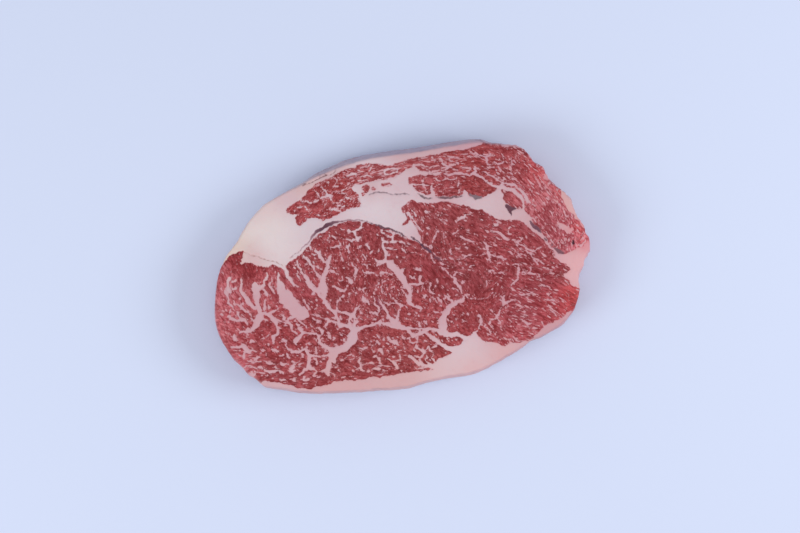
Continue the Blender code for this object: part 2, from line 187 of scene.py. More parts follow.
# Veins of fat. Each runs through its drawn points, as wide at each as the third number says.
VEINS: dict[str, tuple[Stroke, ...]] = {
    "left lobe of the eye": (
        ((-46, 10.2, 0.7), (-45.4, 8.9, 0.9), (-44.6, 8.4, 0.5)), ((-40.5, 8.3, 0.7), (-41, 6.8, 1.4)),
        ((-44.4, 9.8, 0.4), (-43.4, 8.6, 0.8), (-42.4, 7.4, 1.2), (-41.2, 6.6, 2), (-40.6, 5, 1.4),
         (-39.9, 3.6, 1.4), (-39.2, 2.4, 1.4), (-37.2, 2, 1.2)),
        ((-47.6, 7.6, 0.6), (-46, 7.3, 0.7), (-45, 6.6, 0.6), (-44, 6, 1), (-42.6, 6.2, 1)),
        ((-37.9, 4.4, 0.5), (-37.4, 3.4, 0.5)), ((-43.9, 2.4, 0.7), (-43.9, 2, 0.7)),
        ((-35.2, 5.8, 0.6), (-35.8, 4.8, 1.3), (-36.2, 3, 1.5), (-36.6, 1.4, 2), (-36.9, 0, 2),
         (-37.4, -2.6, 2.2), (-38.6, -5, 2.8), (-39.5, -8, 3.6), (-39.2, -11, 4.2), (-38.9, -14, 2.2),
         (-38.6, -17, 2.2), (-37, -19.4, 2), (-35, -21.4, 1.8), (-33.4, -22.6, 1.6), (-32.4, -24.6, 1.5),
         (-31.7, -27, 1.6), (-30.8, -29.6, 2)),
        ((-39.4, -10.4, 3.4), (-41.6, -12.2, 2.4), (-41.2, -14.4, 1.6), (-39.4, -15.8, 2)),
        ((-49.6, 5.2, 1), (-48.6, 4.6, 1.2), (-47.6, 3.4, 1.1), (-46.4, 2, 1.2), (-45.4, 0.8, 1.2),
         (-44, -0.4, 0.8), (-43.6, -1.2, 1), (-42.6, -3.2, 0.9), (-41.6, -4.8, 1), (-40.6, -5.6, 1.2)),
        ((-52.6, 3, 0.4), (-52, 0.4, 0.7), (-51, -1.2, 0.9), (-49.8, -2.6, 0.9), (-48.2, -4.5, 0.9),
         (-47.2, -6.2, 1.9), (-46.5, -8.6, 2.4), (-44.5, -10.6, 2.8), (-42.6, -12, 3)),
        ((-48.6, 1.6, 0.6), (-47.4, 1.4, 0.6)), ((-53.3, 1, 0.8), (-52.9, 1, 0.7)),
        ((-38.9, 12.9, 0.8), (-37.8, 13.2, 0.5), (-36.8, 12.6, 0.7), (-36, 11.8, 0.5)),
        ((-36, 15.4, 0.6), (-36.4, 13.6, 0.7), (-36.8, 12.6, 0.7)), ((-41, 14.9, 0.6), (-40, 14.9, 0.7)),
        ((-34.6, 15, 0.7), (-33.4, 14, 0.8), (-31.6, 14, 0.8), (-29.4, 13.7, 0.7), (-27.2, 13.7, 0.7),
         (-25.6, 13.3, 0.6), (-24.9, 12.6, 0.8), (-23.2, 13.4, 0.7), (-22, 13.6, 1.6)),
        ((-31.2, 13.6, 0.7), (-30.9, 11.6, 0.8), (-31.4, 10.2, 0.9), (-32.6, 10.3, 0.6), (-34, 9.6, 0.7),
         (-35.4, 9.2, 0.5)),
        ((-30.8, 19, 0.5), (-29.4, 18.2, 0.7), (-28.4, 18.6, 0.5)), ((-28.6, 17, 0.5), (-28.2, 16.5, 0.4)),
        ((-32, 16.6, 0.6), (-31.6, 16.6, 0.6)), ((-31.6, 9.3, 0.6), (-31.3, 9, 0.6)),
        ((-19.3, 22, 0.9), (-19.5, 20.7, 0.9), (-19.8, 19.4, 0.9), (-21.3, 18.4, 0.9), (-22.5, 18, 0.9),
         (-23.2, 16.9, 1.5), (-22.5, 15.4, 1), (-21.9, 13.9, 1.6), (-22.4, 12.8, 0.8)),
        ((-23, 17, 1.5), (-25, 16.8, 0.8), (-26.2, 17.5, 0.9), (-27.2, 17.5, 0.5)),
        ((-22, 14.2, 1), (-20.6, 14.8, 0.8)),
        ((-26.1, 11.5, 0.5), (-27, 9.8, 1.4), (-26.5, 8.5, 0.8), (-26, 6.8, 1.1)),
        ((-29.3, 5.4, 0.7), (-29.8, 4, 0.7), (-29.4, 2.8, 0.7)), ((-32.9, 2.8, 0.7), (-31.8, 2.8, 0.8)),
        ((-29.1, -0.5, 0.6), (-28.9, -0.8, 0.5)), ((-34, -0.6, 0.7), (-32.4, -0.8, 0.6)),
        ((-27, 1.5, 0.5), (-25.9, -0.2, 0.6)),
        ((-25.2, 1.9, 0.8), (-24.5, 0.9, 0.7), (-23.5, 0.2, 0.8), (-23, -0.9, 1), (-22.8, -2, 1.6),
         (-23, -2.9, 1.4), (-23.2, -3.9, 0.8)),
        ((-58.5, 0, 1.5), (-57, -4.5, 1.8), (-55.3, -7.5, 1.6), (-53.5, -9.3, 1.2), (-51.6, -10.6, 0.8)),
        ((-52.6, -3.6, 0.5), (-51.4, -5.4, 0.7), (-50.4, -7, 0.5)), ((-45.8, -3.2, 0.7),
         (-44.6, -2.5, 0.7)),
        ((-43.6, -5.6, 0.9), (-43.2, -6.4, 0.7)), ((-44.8, -7.4, 0.5), (-44.2, -8.4, 0.4)),
        ((-42.4, 0, 0.7), (-40.6, -0.8, 1), (-39.6, -1.4, 0.8)), ((-53.4, -0.5, 0.8), (-53.3, -0.8, 0.7)),
        ((-35.4, -2.4, 0.7), (-34, -2.7, 1), (-32.4, -3.4, 0.9), (-31.4, -4, 0.6)),
        ((-31.2, -7.2, 0.8), (-29.6, -6.8, 0.8)), ((-51.7, -2.7, 0.6), (-51.5, -3, 0.6)),
        ((-27.6, -5.5, 0.6), (-26.5, -6.2, 1.1), (-25.6, -7.3, 2.1), (-25.2, -8.1, 1.4)),
        ((-34.6, -9.4, 0.9), (-33, -10.4, 1.4), (-31.4, -11.4, 1.2), (-30.4, -12.2, 1.1),
         (-28.6, -12.4, 0.7),
         (-27.6, -11.4, 0.9)),
        ((-29.1, -14.5, 1.6), (-30.6, -15.6, 0.9), (-31.6, -17.4, 1), (-32.3, -19.4, 0.9),
         (-32.6, -21.4, 1.2),
         (-33.2, -22.6, 1.2)),
        ((-35.4, -17, 0.8), (-35.2, -17.4, 0.7)), ((-33.7, -13.2, 0.6), (-33.5, -13.6, 0.6)),
        ((-44, -13, 1), (-43.8, -13.6, 1)), ((-42.5, -16.8, 1), (-42.3, -17.3, 1)),
        ((-45.4, -16, 0.7), (-45.4, -16.5, 0.7)), ((-46.4, -18, 0.7), (-46.4, -18.4, 0.7)),
        ((-50, -12.3, 0.8), (-50, -12.8, 0.7)), ((-43.4, -21.4, 0.8), (-43.4, -21.8, 0.7)),
        ((-40.9, -22, 0.6), (-40.6, -22, 0.6)), ((-37.6, -21.5, 0.6), (-36.8, -23, 0.9)),
        ((-26.7, -17.2, 0.8), (-26.5, -17.6, 0.7)),
        ((-48.8, -16.8, 0.7), (-47.8, -18.6, 0.9), (-47, -20, 0.8), (-46, -21.4, 0.6)),
        ((-33, -22.4, 1.2), (-31.5, -22.2, 0.9), (-29.8, -22.7, 1.2), (-28.7, -23, 1.3),
         (-27.4, -23.6, 1.2),
         (-26.1, -24.3, 1.3), (-24.8, -24.6, 2)),
        ((-21, -19.6, 0.8), (-21.9, -20.8, 1.2), (-23, -22.1, 1.4), (-23.7, -23.4, 1.7), (-24.8, -24.7, 2),
         (-25.6, -25.8, 1.6), (-26.1, -27.1, 1.5), (-26, -29, 1.7), (-25.5, -31.5, 1.8)),
        ((-24, -24, 1.6), (-22.8, -26.6, 1), (-22.4, -27.6, 2), (-23.5, -28.6, 2.2), (-24, -31, 2.4)),
        ((-26.8, -9.6, 0.8), (-26.8, -10, 0.7)), ((-27.7, -11.2, 0.8), (-27.6, -11.6, 0.8)),
        ((-26.2, -13.6, 1), (-26.2, -15, 0.8)), ((-23.6, -5.9, 0.8), (-23.4, -6.2, 0.8)),
        ((-24, -10.6, 0.8), (-23.4, -11.6, 0.9)), ((-22.4, -10.5, 0.4), (-21.7, -11.4, 0.5),
         (-21.3, -12, 0.5)),
        ((-23, -13.2, 1), (-22.6, -13.7, 0.7)), ((-32.2, -24.5, 1.2), (-33.5, -26.5, 0.8)),
    ),
    "middle of the eye": (
        ((-20.6, 10.1, 0.7), (-20.2, 9.9, 0.7)), ((-17.7, 10.5, 0.8), (-16.7, 9.7, 0.9), (-15.7, 9.1, 0.7)),
        ((-14.2, 8, 0.8), (-14.8, 7, 0.9), (-15.4, 6.2, 0.6)), ((-11.5, 7.9, 0.6), (-11.7, 7, 0.6)),
        ((-19.2, 6.4, 0.6), (-18.6, 5.5, 0.8), (-17.9, 4.3, 0.5)), ((-21.2, 5.2, 0.7), (-20.8, 5, 0.6)),
        ((-22.4, 3.6, 0.7), (-21.6, 2.6, 0.9)), ((-12.1, 15.6, 0.7), (-11.6, 15.3, 0.6)),
        ((-13.7, 4.2, 0.5), (-12.8, 3.5, 0.8), (-12.3, 2.4, 0.9)),
        ((-9.6, 14.4, 0.4), (-9.2, 13.4, 0.9), (-9, 12.2, 1.1), (-9, 10.7, 1.2), (-8.9, 9.2, 1.7),
         (-8.2, 7.8, 1.2), (-7.5, 6.3, 1.7), (-7.8, 4.6, 1.4), (-8, 3.3, 1.8), (-9.1, 2.2, 2.1),
         (-10.9, 1.8, 1.9), (-12, 1.1, 1), (-12.6, 0.5, 0.6)),
        ((-8, 3, 1.8), (-6.9, 1.9, 2.6), (-5.8, 1.1, 3), (-4.5, -0.2, 3), (-3, -1.5, 3.5),
         (-1.9, -2.6, 3.9),
         (-0.8, -4.2, 3.8), (0.4, -6.4, 3.3), (1.5, -8.2, 3), (2.6, -9.8, 2.8), (3.6, -11.6, 2.4),
         (4.4, -13.6, 1.8), (3.8, -15.8, 2.3), (4.4, -18.2, 2), (6, -20.2, 0.9)),
        ((-7.2, 6.2, 1), (-6.1, 5.7, 0.8)), ((1.1, -0.6, 0.6), (0.6, -1.8, 1.6), (-0.6, -3, 2)),
        ((-9, 12.4, 0.9), (-7.1, 12.6, 0.8), (-5.6, 12.2, 0.8), (-4.1, 12.2, 1), (-2.5, 12.4, 0.8),
         (-0.8, 12.5, 0.7), (1.2, 12.1, 0.7), (2.7, 11.6, 0.6), (4.2, 11, 0.4)),
        ((-4.2, 12.3, 1), (-4.2, 13.7, 0.8), (-4.6, 14.8, 0.8), (-5.8, 14.8, 0.7)), ((-4.4, 15, 0.7),
         (-4.2, 16.6, 0.6)),
        ((-10.4, 16.9, 0.6), (-9.3, 16.6, 0.6), (-8, 16.1, 0.6), (-6.9, 15.5, 0.5), (-6, 14.8, 0.6)),
        ((-9.7, 18, 0.4), (-8.2, 17.6, 0.5), (-6.7, 17.2, 0.5), (-5.4, 17, 0.7), (-3.9, 16.6, 0.9),
         (-2.1, 16.3, 0.7), (-0.8, 15.8, 0.6), (0.5, 15.1, 0.7), (1.6, 14.4, 0.7), (2.7, 13.8, 0.6)),
        ((-7.3, 9.5, 0.5), (-5.6, 9.1, 0.5), (-3.9, 8.7, 0.6), (-2.5, 8.4, 0.6)),
        ((0, 9.2, 0.7), (1.2, 8.4, 1.3), (2.2, 7.2, 0.8)), ((2.8, 7.8, 0.6), (3.4, 8.1, 0.6)),
        ((-0.5, 2.8, 0.7), (-0.5, 2.3, 0.7)), ((-2, 4.9, 0.5), (-1.8, 4.7, 0.5)),
        ((1.4, 4.8, 0.6), (1.4, 4.2, 0.6)), ((-4.9, 3, 0.5), (-4.6, 2.7, 0.5)),
        ((-19.5, 1.5, 0.5), (-18.5, 1.3, 0.6), (-17.2, 0.4, 1), (-16.9, -0.9, 0.6)), ((-16, 1.2, 0.6),
         (-15.6, 1, 0.6)),
        ((-19.1, -2, 0.7), (-18.5, -3.2, 0.9), (-17, -3.5, 1.5), (-15.2, -3.1, 1.1), (-14, -2.9, 0.9),
         (-12.6, -4.4, 0.8), (-11.4, -4.2, 1), (-10.4, -3.2, 1.3), (-9.3, -2.9, 1.2), (-8, -3.3, 1),
         (-6.6, -3.1, 0.7), (-5.4, -3.5, 0.9), (-4.6, -4, 0.7)),
        ((-18.3, -10.8, 1.2), (-18.9, -11.6, 1), (-18.7, -12.6, 0.9), (-18.2, -13.6, 0.7),
         (-18.1, -14.6, 0.6)),
        ((-13.2, -11.5, 0.8), (-13, -12, 0.8)), ((-12.6, -9, 0.8), (-12.4, -9.5, 0.7)),
        ((-11.7, -7.3, 0.7), (-11.3, -8.4, 0.9)),
        ((-9.2, -9.3, 0.8), (-10.3, -10.7, 0.9), (-10, -12, 1.1), (-9.3, -13.1, 1), (-8.6, -13.9, 0.5)),
        ((-13.4, -14.8, 0.7), (-13.5, -16.6, 0.8), (-13.4, -18.4, 1.1), (-12.6, -19.7, 1),
         (-11.5, -20.8, 1.1),
         (-11, -22.1, 0.9), (-11.5, -23.4, 0.7), (-11.5, -24.9, 0.6)),
        ((-11.7, -14.8, 0.5), (-11.3, -16, 0.7), (-10.7, -17.4, 0.7), (-9.7, -19, 1), (-8.6, -20.6, 1.4),
         (-7.6, -22.1, 1.5), (-6.5, -24, 1.7), (-5.4, -25.8, 2.1), (-4.1, -27.5, 2.9), (-2.3, -28.8, 3.2),
         (-1, -30, 3)),
        ((-8.8, -17.6, 0.9), (-7.3, -18.5, 0.7), (-6.3, -19, 0.9), (-5.2, -18.4, 0.8), (-3.9, -18.2, 0.7),
         (-2.3, -18.5, 0.7), (-1, -19, 0.8), (0.1, -19.4, 1), (-0.6, -20.8, 0.7), (-1.5, -22.3, 0.9),
         (-1.7, -23.6, 1), (-1.8, -25, 1.5), (-2.3, -26.6, 2)),
        ((0.1, -19.5, 0.9), (1.6, -19.6, 0.7), (2.7, -20.6, 0.7)),
        ((0, -11.2, 0.7), (0.6, -12.2, 0.6), (1.6, -13.3, 0.8), (2.5, -14.7, 1), (3.4, -15.8, 1.8)),
        ((-5, -10.7, 0.7), (-4.8, -11, 0.7)), ((-1.9, -11.4, 0.9), (-1.5, -12, 0.8)),
        ((-1.1, -14.5, 0.7), (-0.8, -14.9, 0.7)), ((-4, -15.7, 0.8), (-3.8, -16.2, 0.8)),
        ((-2.4, -17.2, 0.8), (-2, -17.6, 0.8)), ((-0.6, -17.2, 0.5), (-0.2, -17.5, 0.5)),
        ((-7.1, -13.7, 0.9), (-6.9, -14.1, 0.9)), ((-6.9, -16.5, 0.6), (-6.6, -16.8, 0.6)),
        ((-9.1, -7.8, 0.5), (-8.2, -7.3, 0.4), (-7.1, -6.8, 0.5), (-6.5, -6.2, 0.5)),
        ((-14.6, -24.3, 0.5), (-13.6, -24, 0.9), (-12.9, -23.2, 1), (-12.2, -24, 0.8)),
        ((-13.3, -26, 1), (-12.9, -26, 1)), ((-17, -23.2, 0.9), (-16.8, -23.6, 0.8)),
        ((-15.8, -23, 0.6), (-15.5, -23.3, 0.6)),
        ((-20.4, -22, 0.7), (-20.3, -23.3, 1.1)), ((-22, -25.1, 0.8), (-21.8, -25.4, 0.8)),
        ((-20.2, -25.8, 0.5), (-19.4, -26.6, 0.7)), ((-16.7, -25, 0.7), (-16.5, -25.4, 0.6)),
        ((-10.5, -27.4, 1.2), (-10.9, -28.8, 1.8)), ((-9.4, -26.2, 0.6), (-8.8, -26.9, 0.9)),
        ((-7.1, -25.6, 0.6), (-6.9, -26, 0.6)), ((-5.6, -28.1, 1), (-5.2, -28.3, 1)),
        ((-4.6, -23.4, 0.4), (-3.4, -24.3, 0.5), (-2.5, -24.7, 0.5)), ((3.4, -23.2, 0.5),
         (3.8, -23.6, 0.5)),
        ((1.6, -26, 0.7), (2.8, -26, 1)),
    ),
    "near-cap lobe of the eye": (
        ((4.6, 26.2, 0.7), (6.2, 23.8, 0.7), (7.6, 21, 0.7), (8.4, 19.6, 0.8), (9.8, 18, 0.7),
         (10.8, 17.5, 1)),
        ((6.9, 18.4, 0.5), (7.4, 17, 0.5), (7.8, 15.6, 0.6)), ((10.6, 16, 0.4), (10.6, 13, 0.4)),
        ((8.9, 15.4, 0.7), (9.2, 14.8, 0.6)), ((12.7, 19.5, 0.8), (13, 19.3, 0.8)), ((13.1, 16.6, 0.7),
         (13.3, 16.3, 0.7)),
        ((17, 18.2, 0.6), (18.4, 17.4, 0.8)), ((17.4, 17, 0.5), (17.2, 16, 0.8), (16.6, 14.4, 0.9),
         (16, 13, 0.8),
         (15.4, 11.8, 0.5)),
        ((14.2, 10.4, 0.7), (15.6, 9.2, 0.8)), ((20.8, 16.2, 0.6), (21, 14, 0.5), (21, 12, 0.5),
         (21.6, 10.4, 0.4)),
        ((22, 15, 0.7), (22.1, 14.5, 0.6)), ((23.5, 16.6, 0.7), (23.7, 16.4, 0.7)),
        ((25.8, 16.4, 0.8), (27.4, 17.2, 0.7), (28.8, 18.2, 0.5), (29.8, 19.6, 0.4)),
        ((24.6, 9.8, 0.5), (24.5, 8.6, 0.8), (24.4, 7.3, 0.7)), ((27.2, 9, 0.7), (28.6, 8.8, 0.8),
         (29.5, 8.9, 0.6)),
        ((31.9, 9.8, 0.6), (32.5, 9, 0.6)), ((32.2, 18, 0.8), (33.4, 17.8, 0.7)),
        ((29.4, 15.3, 0.5), (31, 14.4, 1), (32.2, 13.8, 1.1), (33.4, 13, 0.9), (34.8, 12.6, 0.7),
         (37, 11.8, 0.5)),
        ((31.4, 11.4, 0.5), (34, 11.6, 0.5)), ((18.2, 7, 0.8), (18.6, 6.8, 0.8)), ((21.3, 7.1, 0.7),
         (21.6, 6.9, 0.7)),
        ((16.2, 6.6, 0.6), (16.7, 6, 0.6)), ((24.9, 6.4, 0.6), (25.2, 6.2, 0.5)), ((21.4, 4.5, 0.5),
         (22.6, 3.1, 0.7)),
        ((23.6, 4.8, 0.6), (25, 3.9, 0.8), (26.4, 2.8, 0.8), (27.3, 2.1, 0.5)), ((28.8, 2, 0.5),
         (29.3, 1.9, 0.5)),
        ((29, 4.3, 0.7), (28.8, 3.5, 0.7)), ((30.6, 5.4, 0.7), (31.5, 5.1, 1), (31.5, 4, 0.8)),
        ((31.5, 5.1, 0.7), (33, 5.2, 0.6), (36, 5.5, 0.5), (39, 5.1, 0.6), (41.8, 5.6, 0.6)),
        ((31.9, 1.4, 0.8), (32.6, 0.9, 0.8)), ((30.2, -0.4, 0.5), (31.2, -1.2, 0.4)),
    ),
    "under the membrane": (
        ((7.4, 13.9, 0.6), (8.8, 12.9, 0.8), (10.4, 11.8, 0.8), (12, 10.7, 0.8), (13.4, 9.6, 0.7),
         (14.8, 8.2, 0.5)),
        ((10.6, 8.8, 0.5), (12, 7.7, 0.8), (13.4, 6.8, 0.7), (14.8, 5.6, 0.6), (15.2, 4.2, 0.7),
         (16, 3, 0.8),
         (16.8, 2.2, 0.9)),
        ((17, 5.6, 0.6), (18.4, 4.8, 0.6), (19.8, 3.6, 0.6)), ((19.6, 2.2, 0.5), (21, 1.2, 0.8),
         (22.4, 0.8, 0.8)),
        ((23.1, 0, 0.7), (23.3, -0.9, 0.6)), ((18.4, -0.3, 0.7), (19.3, -0.4, 0.7)),
        ((20.4, -1, 0.8), (21.8, -2.3, 0.8), (23.2, -3, 0.9), (24.4, -4, 0.8), (25.4, -5, 1.1),
         (26.4, -5.2, 1.1),
         (27.1, -6.4, 1.7), (27.2, -7.8, 2.1), (28.2, -9.4, 1.8), (29.3, -10.8, 1.7), (30, -12.4, 1),
         (30.4, -13.8, 0.6), (31.4, -15, 0.7)),
        ((26, -5, 0.9), (27, -3.6, 0.8), (27.8, -2.9, 0.8), (29.4, -3.4, 0.6), (31.6, -4.3, 0.7)),
        ((25, -10.8, 0.7), (25.6, -11.2, 0.7)), ((26.6, -11.5, 0.5), (28.4, -12.7, 0.7),
         (29.6, -13.8, 0.5)),
        ((30.4, -7.6, 0.7), (31, -8.2, 0.7)), ((32.5, -5.6, 0.6), (32.8, -6, 0.6)),
        ((4.4, 10.8, 0.4), (6, 9.9, 0.4), (7.2, 9, 0.3)),
        ((2.8, 7.9, 0.6), (5, 7.2, 0.5), (7.6, 6.7, 0.6), (8.6, 6, 0.7), (10.2, 5.3, 0.6)),
        ((7.4, -0.8, 0.5), (8, -1.3, 1), (9.2, -2, 1.2), (9.8, -2.6, 0.7)), ((9.5, 1, 0.5),
         (9.7, 0.6, 0.5)),
        ((4.4, -4.6, 0.6), (5.2, -5.1, 0.6)), ((6, -5.5, 0.9), (6.6, -6, 0.8)),
    ),
    "foot of the long vein": (
        ((4, -8.6, 1), (5.6, -8.8, 1.1), (7.5, -9, 1.1), (9.5, -8.9, 1.2), (10.8, -8.5, 0.8),
         (12.3, -7.8, 0.9),
         (14.1, -8.3, 1.1), (14.5, -10, 0.7), (14.1, -11.5, 0.5), (14.6, -13, 1), (16, -13.2, 0.7),
         (17.8, -13.5, 0.5)),
        ((9.2, -5.4, 1.1), (8.9, -6.8, 0.9), (9.2, -8.4, 0.9)),
        ((10.8, -9.6, 0.7), (10.6, -11.4, 0.5), (10.8, -13.2, 0.7), (11.9, -14.7, 1.4)),
        ((5.4, -9.8, 1.4), (5.2, -12, 0.6), (5.2, -14, 0.6)), ((7.9, -12.4, 0.5), (8.1, -12.8, 0.5)),
        ((5.4, -19.2, 2), (7, -19.6, 1.2), (8.6, -20, 1.5), (9.6, -21, 1.1), (9.4, -22.2, 0.6)),
        ((10.6, -19.4, 0.6), (11.8, -20.6, 0.7)), ((11.8, -18.4, 0.8), (12.3, -18.5, 0.8)),
        ((14.4, -16.4, 0.8), (14.2, -17.8, 0.8)), ((17.4, -9.4, 0.7), (16.8, -10.7, 0.9)),
        ((17.3, -6.8, 0.4), (18, -8, 0.7)), ((20.3, -9.8, 0.7), (21.2, -11, 0.8)), ((21.8, -4.8, 0.8),
         (22.3, -4.9, 0.7)),
        ((22, -8.6, 0.6), (22.4, -9, 0.6)), ((18.8, -14.4, 0.8), (19.2, -14.8, 0.8)),
        ((15.6, -15.4, 0.5), (17.2, -17.2, 0.5), (18.6, -18.4, 0.3)),
        ((17.6, -15.2, 0.6), (18.8, -16.2, 0.8), (19.6, -17.2, 0.8), (19.7, -18.4, 0.6)),
        ((19.6, -19.6, 0.9), (20, -19.8, 0.9)),
        ((22, -14.2, 0.8), (22.8, -15.2, 1.5), (23.4, -16.2, 1.3), (24.6, -17, 1), (25.8, -18.2, 1.2)),
        ((22.6, -15.8, 1), (21, -16.3, 0.7)),
        ((33, -15.2, 0.9), (31.8, -15.4, 1), (31, -16.2, 1.4), (29.5, -17.3, 1.8), (27.5, -18.4, 2),
         (25.5, -19.3, 2), (24.2, -20.5, 2.2), (23.2, -22.2, 2.6), (21.6, -24, 3.2), (20.7, -26, 3.8),
         (20.6, -29, 4.2), (20.6, -33, 4)),
        ((20, -23.4, 1.4), (18.4, -23, 0.7), (16.8, -23, 0.8), (15.8, -22.2, 0.6)),
        ((33.8, -13.8, 0.7), (32.4, -14.4, 0.7), (31.4, -15, 0.5)), ((27.3, -14.8, 0.6),
         (27.6, -15.1, 0.6)),
        ((6.6, -22.2, 0.6), (7.6, -23.6, 0.6)), ((3.5, -23.4, 0.8), (3.9, -23.5, 0.7)),
        ((6.3, -27.1, 0.8), (6.6, -27.4, 0.8)),
        ((8.8, -25, 1), (9.3, -25.5, 0.9)), ((11.3, -24.8, 0.7), (11.6, -25.2, 0.6)), ((11.5, -27, 0.7),
         (11.7, -27.8, 0.7)),
        ((13, -27.6, 0.9), (12.6, -28.8, 1.1)), ((14.3, -23.2, 0.6), (14.5, -23.8, 0.6)),
        ((13.4, -24, 0.4), (12.9, -25.4, 0.6)),
        ((8.4, -28.2, 1), (9.4, -29.8, 1.5)), ((25.2, -27.5, 0.8), (25.5, -27.8, 0.8)),
        ((25.4, -23.5, 0.7), (25.8, -23.8, 0.7)),
        ((27, -26, 0.8), (27.5, -26.4, 0.7)), ((30.4, -23.5, 0.7), (30.8, -23.8, 0.7)),
        ((32.8, -23.5, 0.8), (33.3, -23.7, 0.8)),
        ((29.4, -25.8, 0.5), (31, -26.1, 0.6)), ((27.8, -29.4, 0.7), (28.3, -29.7, 0.7)),
    ),
    "near-cap lobe, right": (
        ((5, 29, 0.4), (6.6, 26.8, 0.7), (7.4, 25, 0.6)), ((0.2, 25.8, 0.9), (2.6, 26, 0.8),
         (4.8, 26.3, 0.7)),
        ((9.8, 24.8, 0.4), (10.6, 23.4, 0.7), (11, 21.6, 0.4)),
        ((28.4, 23.4, 1), (30, 24.4, 1.2), (31.6, 24.8, 1.4), (32.4, 26, 0.9), (34.4, 26.4, 0.5)),
        ((17.8, 26, 0.5), (19.6, 25.2, 0.8)), ((19.2, 23.8, 0.4), (21.6, 23, 0.8), (22.6, 22.8, 0.5)),
        ((12, 27.4, 0.8), (13.8, 26.8, 0.7)), ((21.6, 29, 0.4), (23.2, 27.8, 0.7)), ((40, 23.4, 0.8),
         (41, 22.8, 0.8)),
        ((41.2, 12.4, 0.5), (42.2, 11, 1.2), (42.8, 9.6, 1.4), (42.6, 8.2, 1.3), (43.1, 6.8, 1.9),
         (43.8, 5.2, 1.4),
         (44.2, 3.4, 0.9)),
        ((42.8, 10.4, 1), (44, 10.6, 0.8), (45.2, 10.1, 0.4)), ((30.6, 5.2, 1), (33.8, 5.5, 0.7),
         (36.3, 5.3, 0.7),
         (40.2, 5.7, 0.6), (42.6, 6.2, 0.8)),
        ((43.8, 5.6, 1), (45.7, 5.8, 0.7), (47.8, 5, 0.8), (49.9, 4.4, 0.9), (52.2, 3.5, 0.7)),
        ((47.9, 1.8, 0.7), (48.6, 1.6, 0.7)), ((46.4, 0.4, 0.4), (47.4, -0.8, 0.4)),
        ((43.4, -2.4, 0.7), (44.2, -2.8, 1), (45.7, -2.4, 0.7), (46.8, -3.6, 0.8), (49, -3.2, 0.5),
         (51.4, -2.8, 0.3)),
        ((42.6, -6.8, 0.6), (43, -9, 0.6), (43.5, -10.9, 0.4)), ((34.6, 0.6, 0.5), (34.3, -0.8, 0.7)),
        ((49.2, -6.5, 0.6), (49.6, -6.8, 0.6)), ((45.8, 21.3, 0.7), (47.3, 20.5, 1), (48.8, 20.8, 0.5)),
        ((47.6, 22.3, 0.5), (48.4, 21.6, 0.4)),
        ((44.8, 18.2, 0.5), (46.9, 17.5, 0.6), (49, 16.5, 0.7), (50.7, 15.4, 0.8), (52, 13.9, 1.1),
         (53.7, 13.3, 0.8),
         (55.4, 12.9, 0.7), (57.5, 12, 0.8), (59.6, 11.2, 0.7), (61.3, 10.3, 0.7), (63, 9.1, 0.9),
         (64.7, 7.8, 1),
         (66.4, 7.4, 1), (68.1, 9.1, 0.7), (70, 10, 0.6)),
        ((56.6, 19.7, 0.4), (53.9, 19.4, 0.6), (53.4, 18, 0.8), (53.7, 16.2, 0.8), (55.4, 16, 0.5)),
        ((58.6, 12.6, 0.9), (59.4, 13.2, 1), (60.2, 13.8, 0.9)),
        ((57.3, 10.9, 0.6), (58.8, 9.5, 0.7), (60.5, 8.7, 0.7), (62.6, 7.4, 0.8), (64.3, 5.8, 0.8),
         (65.5, 4.4, 0.8),
         (67.2, 2.4, 0.8), (68.1, 1.4, 0.8), (69, -0.4, 0.7)),
        ((64.3, 6, 0.7), (65.6, 7, 0.8)), ((55.4, 9.1, 0.4), (57.1, 7.8, 0.4), (58.8, 6.1, 0.4),
         (60.5, 4.4, 0.3)),
        ((56.4, 5.9, 0.5), (58.4, 3.9, 0.4)), ((59.8, 6.6, 0.4), (62, 4.6, 0.4)), ((53.8, 7.4, 0.3),
         (55.6, 5.8, 0.4)),
        ((55.2, 0.6, 0.6), (57.1, 1, 0.8), (58.8, 1.2, 0.9), (58.8, -0.2, 1.1), (58.8, -2.3, 1.2),
         (58.3, -4.5, 1.2),
         (57.5, -6.6, 0.9), (56.6, -8.3, 0.9), (55.4, -9.1, 0.7), (53.6, -10.5, 0.4)),
        ((59, -2.7, 0.9), (60.5, -2.8, 0.6), (63, -3.2, 0.7), (65.5, -3.2, 0.7), (67.6, -4, 0.7),
         (68.9, -5.7, 0.8),
         (70, -7.4, 0.5)),
        ((61.4, 1.7, 0.8), (62.4, 1, 0.7), (63.8, -0.3, 0.5), (65.1, -1.9, 0.5)),
        ((69.4, 2.6, 0.8), (70.8, 1.4, 0.6)), ((68.2, 2.9, 0.6), (68.8, 2.5, 0.6)), ((75.6, 2.2, 0.7),
         (75.9, 1.6, 0.7)),
        ((72.4, -0.5, 0.4), (73.6, -0.9, 0.9), (74.2, -1.8, 0.5)), ((69, -8.6, 0.6), (72.3, -9.8, 0.5),
         (75, -10.5, 0.4)),
        ((75.1, -12.6, 0.7), (74.8, -13.8, 0.7), (74.2, -14.8, 0.4)),
        ((56.6, -14.2, 0.4), (58.8, -13.8, 0.6), (61.3, -14, 0.7), (63.8, -14, 0.6), (65.5, -13.2, 0.9)),
        ((61, -11.5, 0.4), (63.4, -12.3, 0.5), (65, -13, 0.5)), ((77, -15.6, 0.4), (80, -16.4, 0.5),
         (83.6, -18, 0.5)),
    ),
    "round the star": (
        ((32.6, -15.3, 1), (34.4, -15.6, 0.7), (37.4, -16.2, 0.5), (40.6, -16.4, 0.5), (43.4, -15.2, 0.5),
         (45.4, -13.4, 0.4)),
        ((51.6, -14.4, 0.5), (51.2, -16.3, 1), (51.6, -18, 1.7), (52.6, -18.5, 1), (50.6, -18.9, 0.8)),
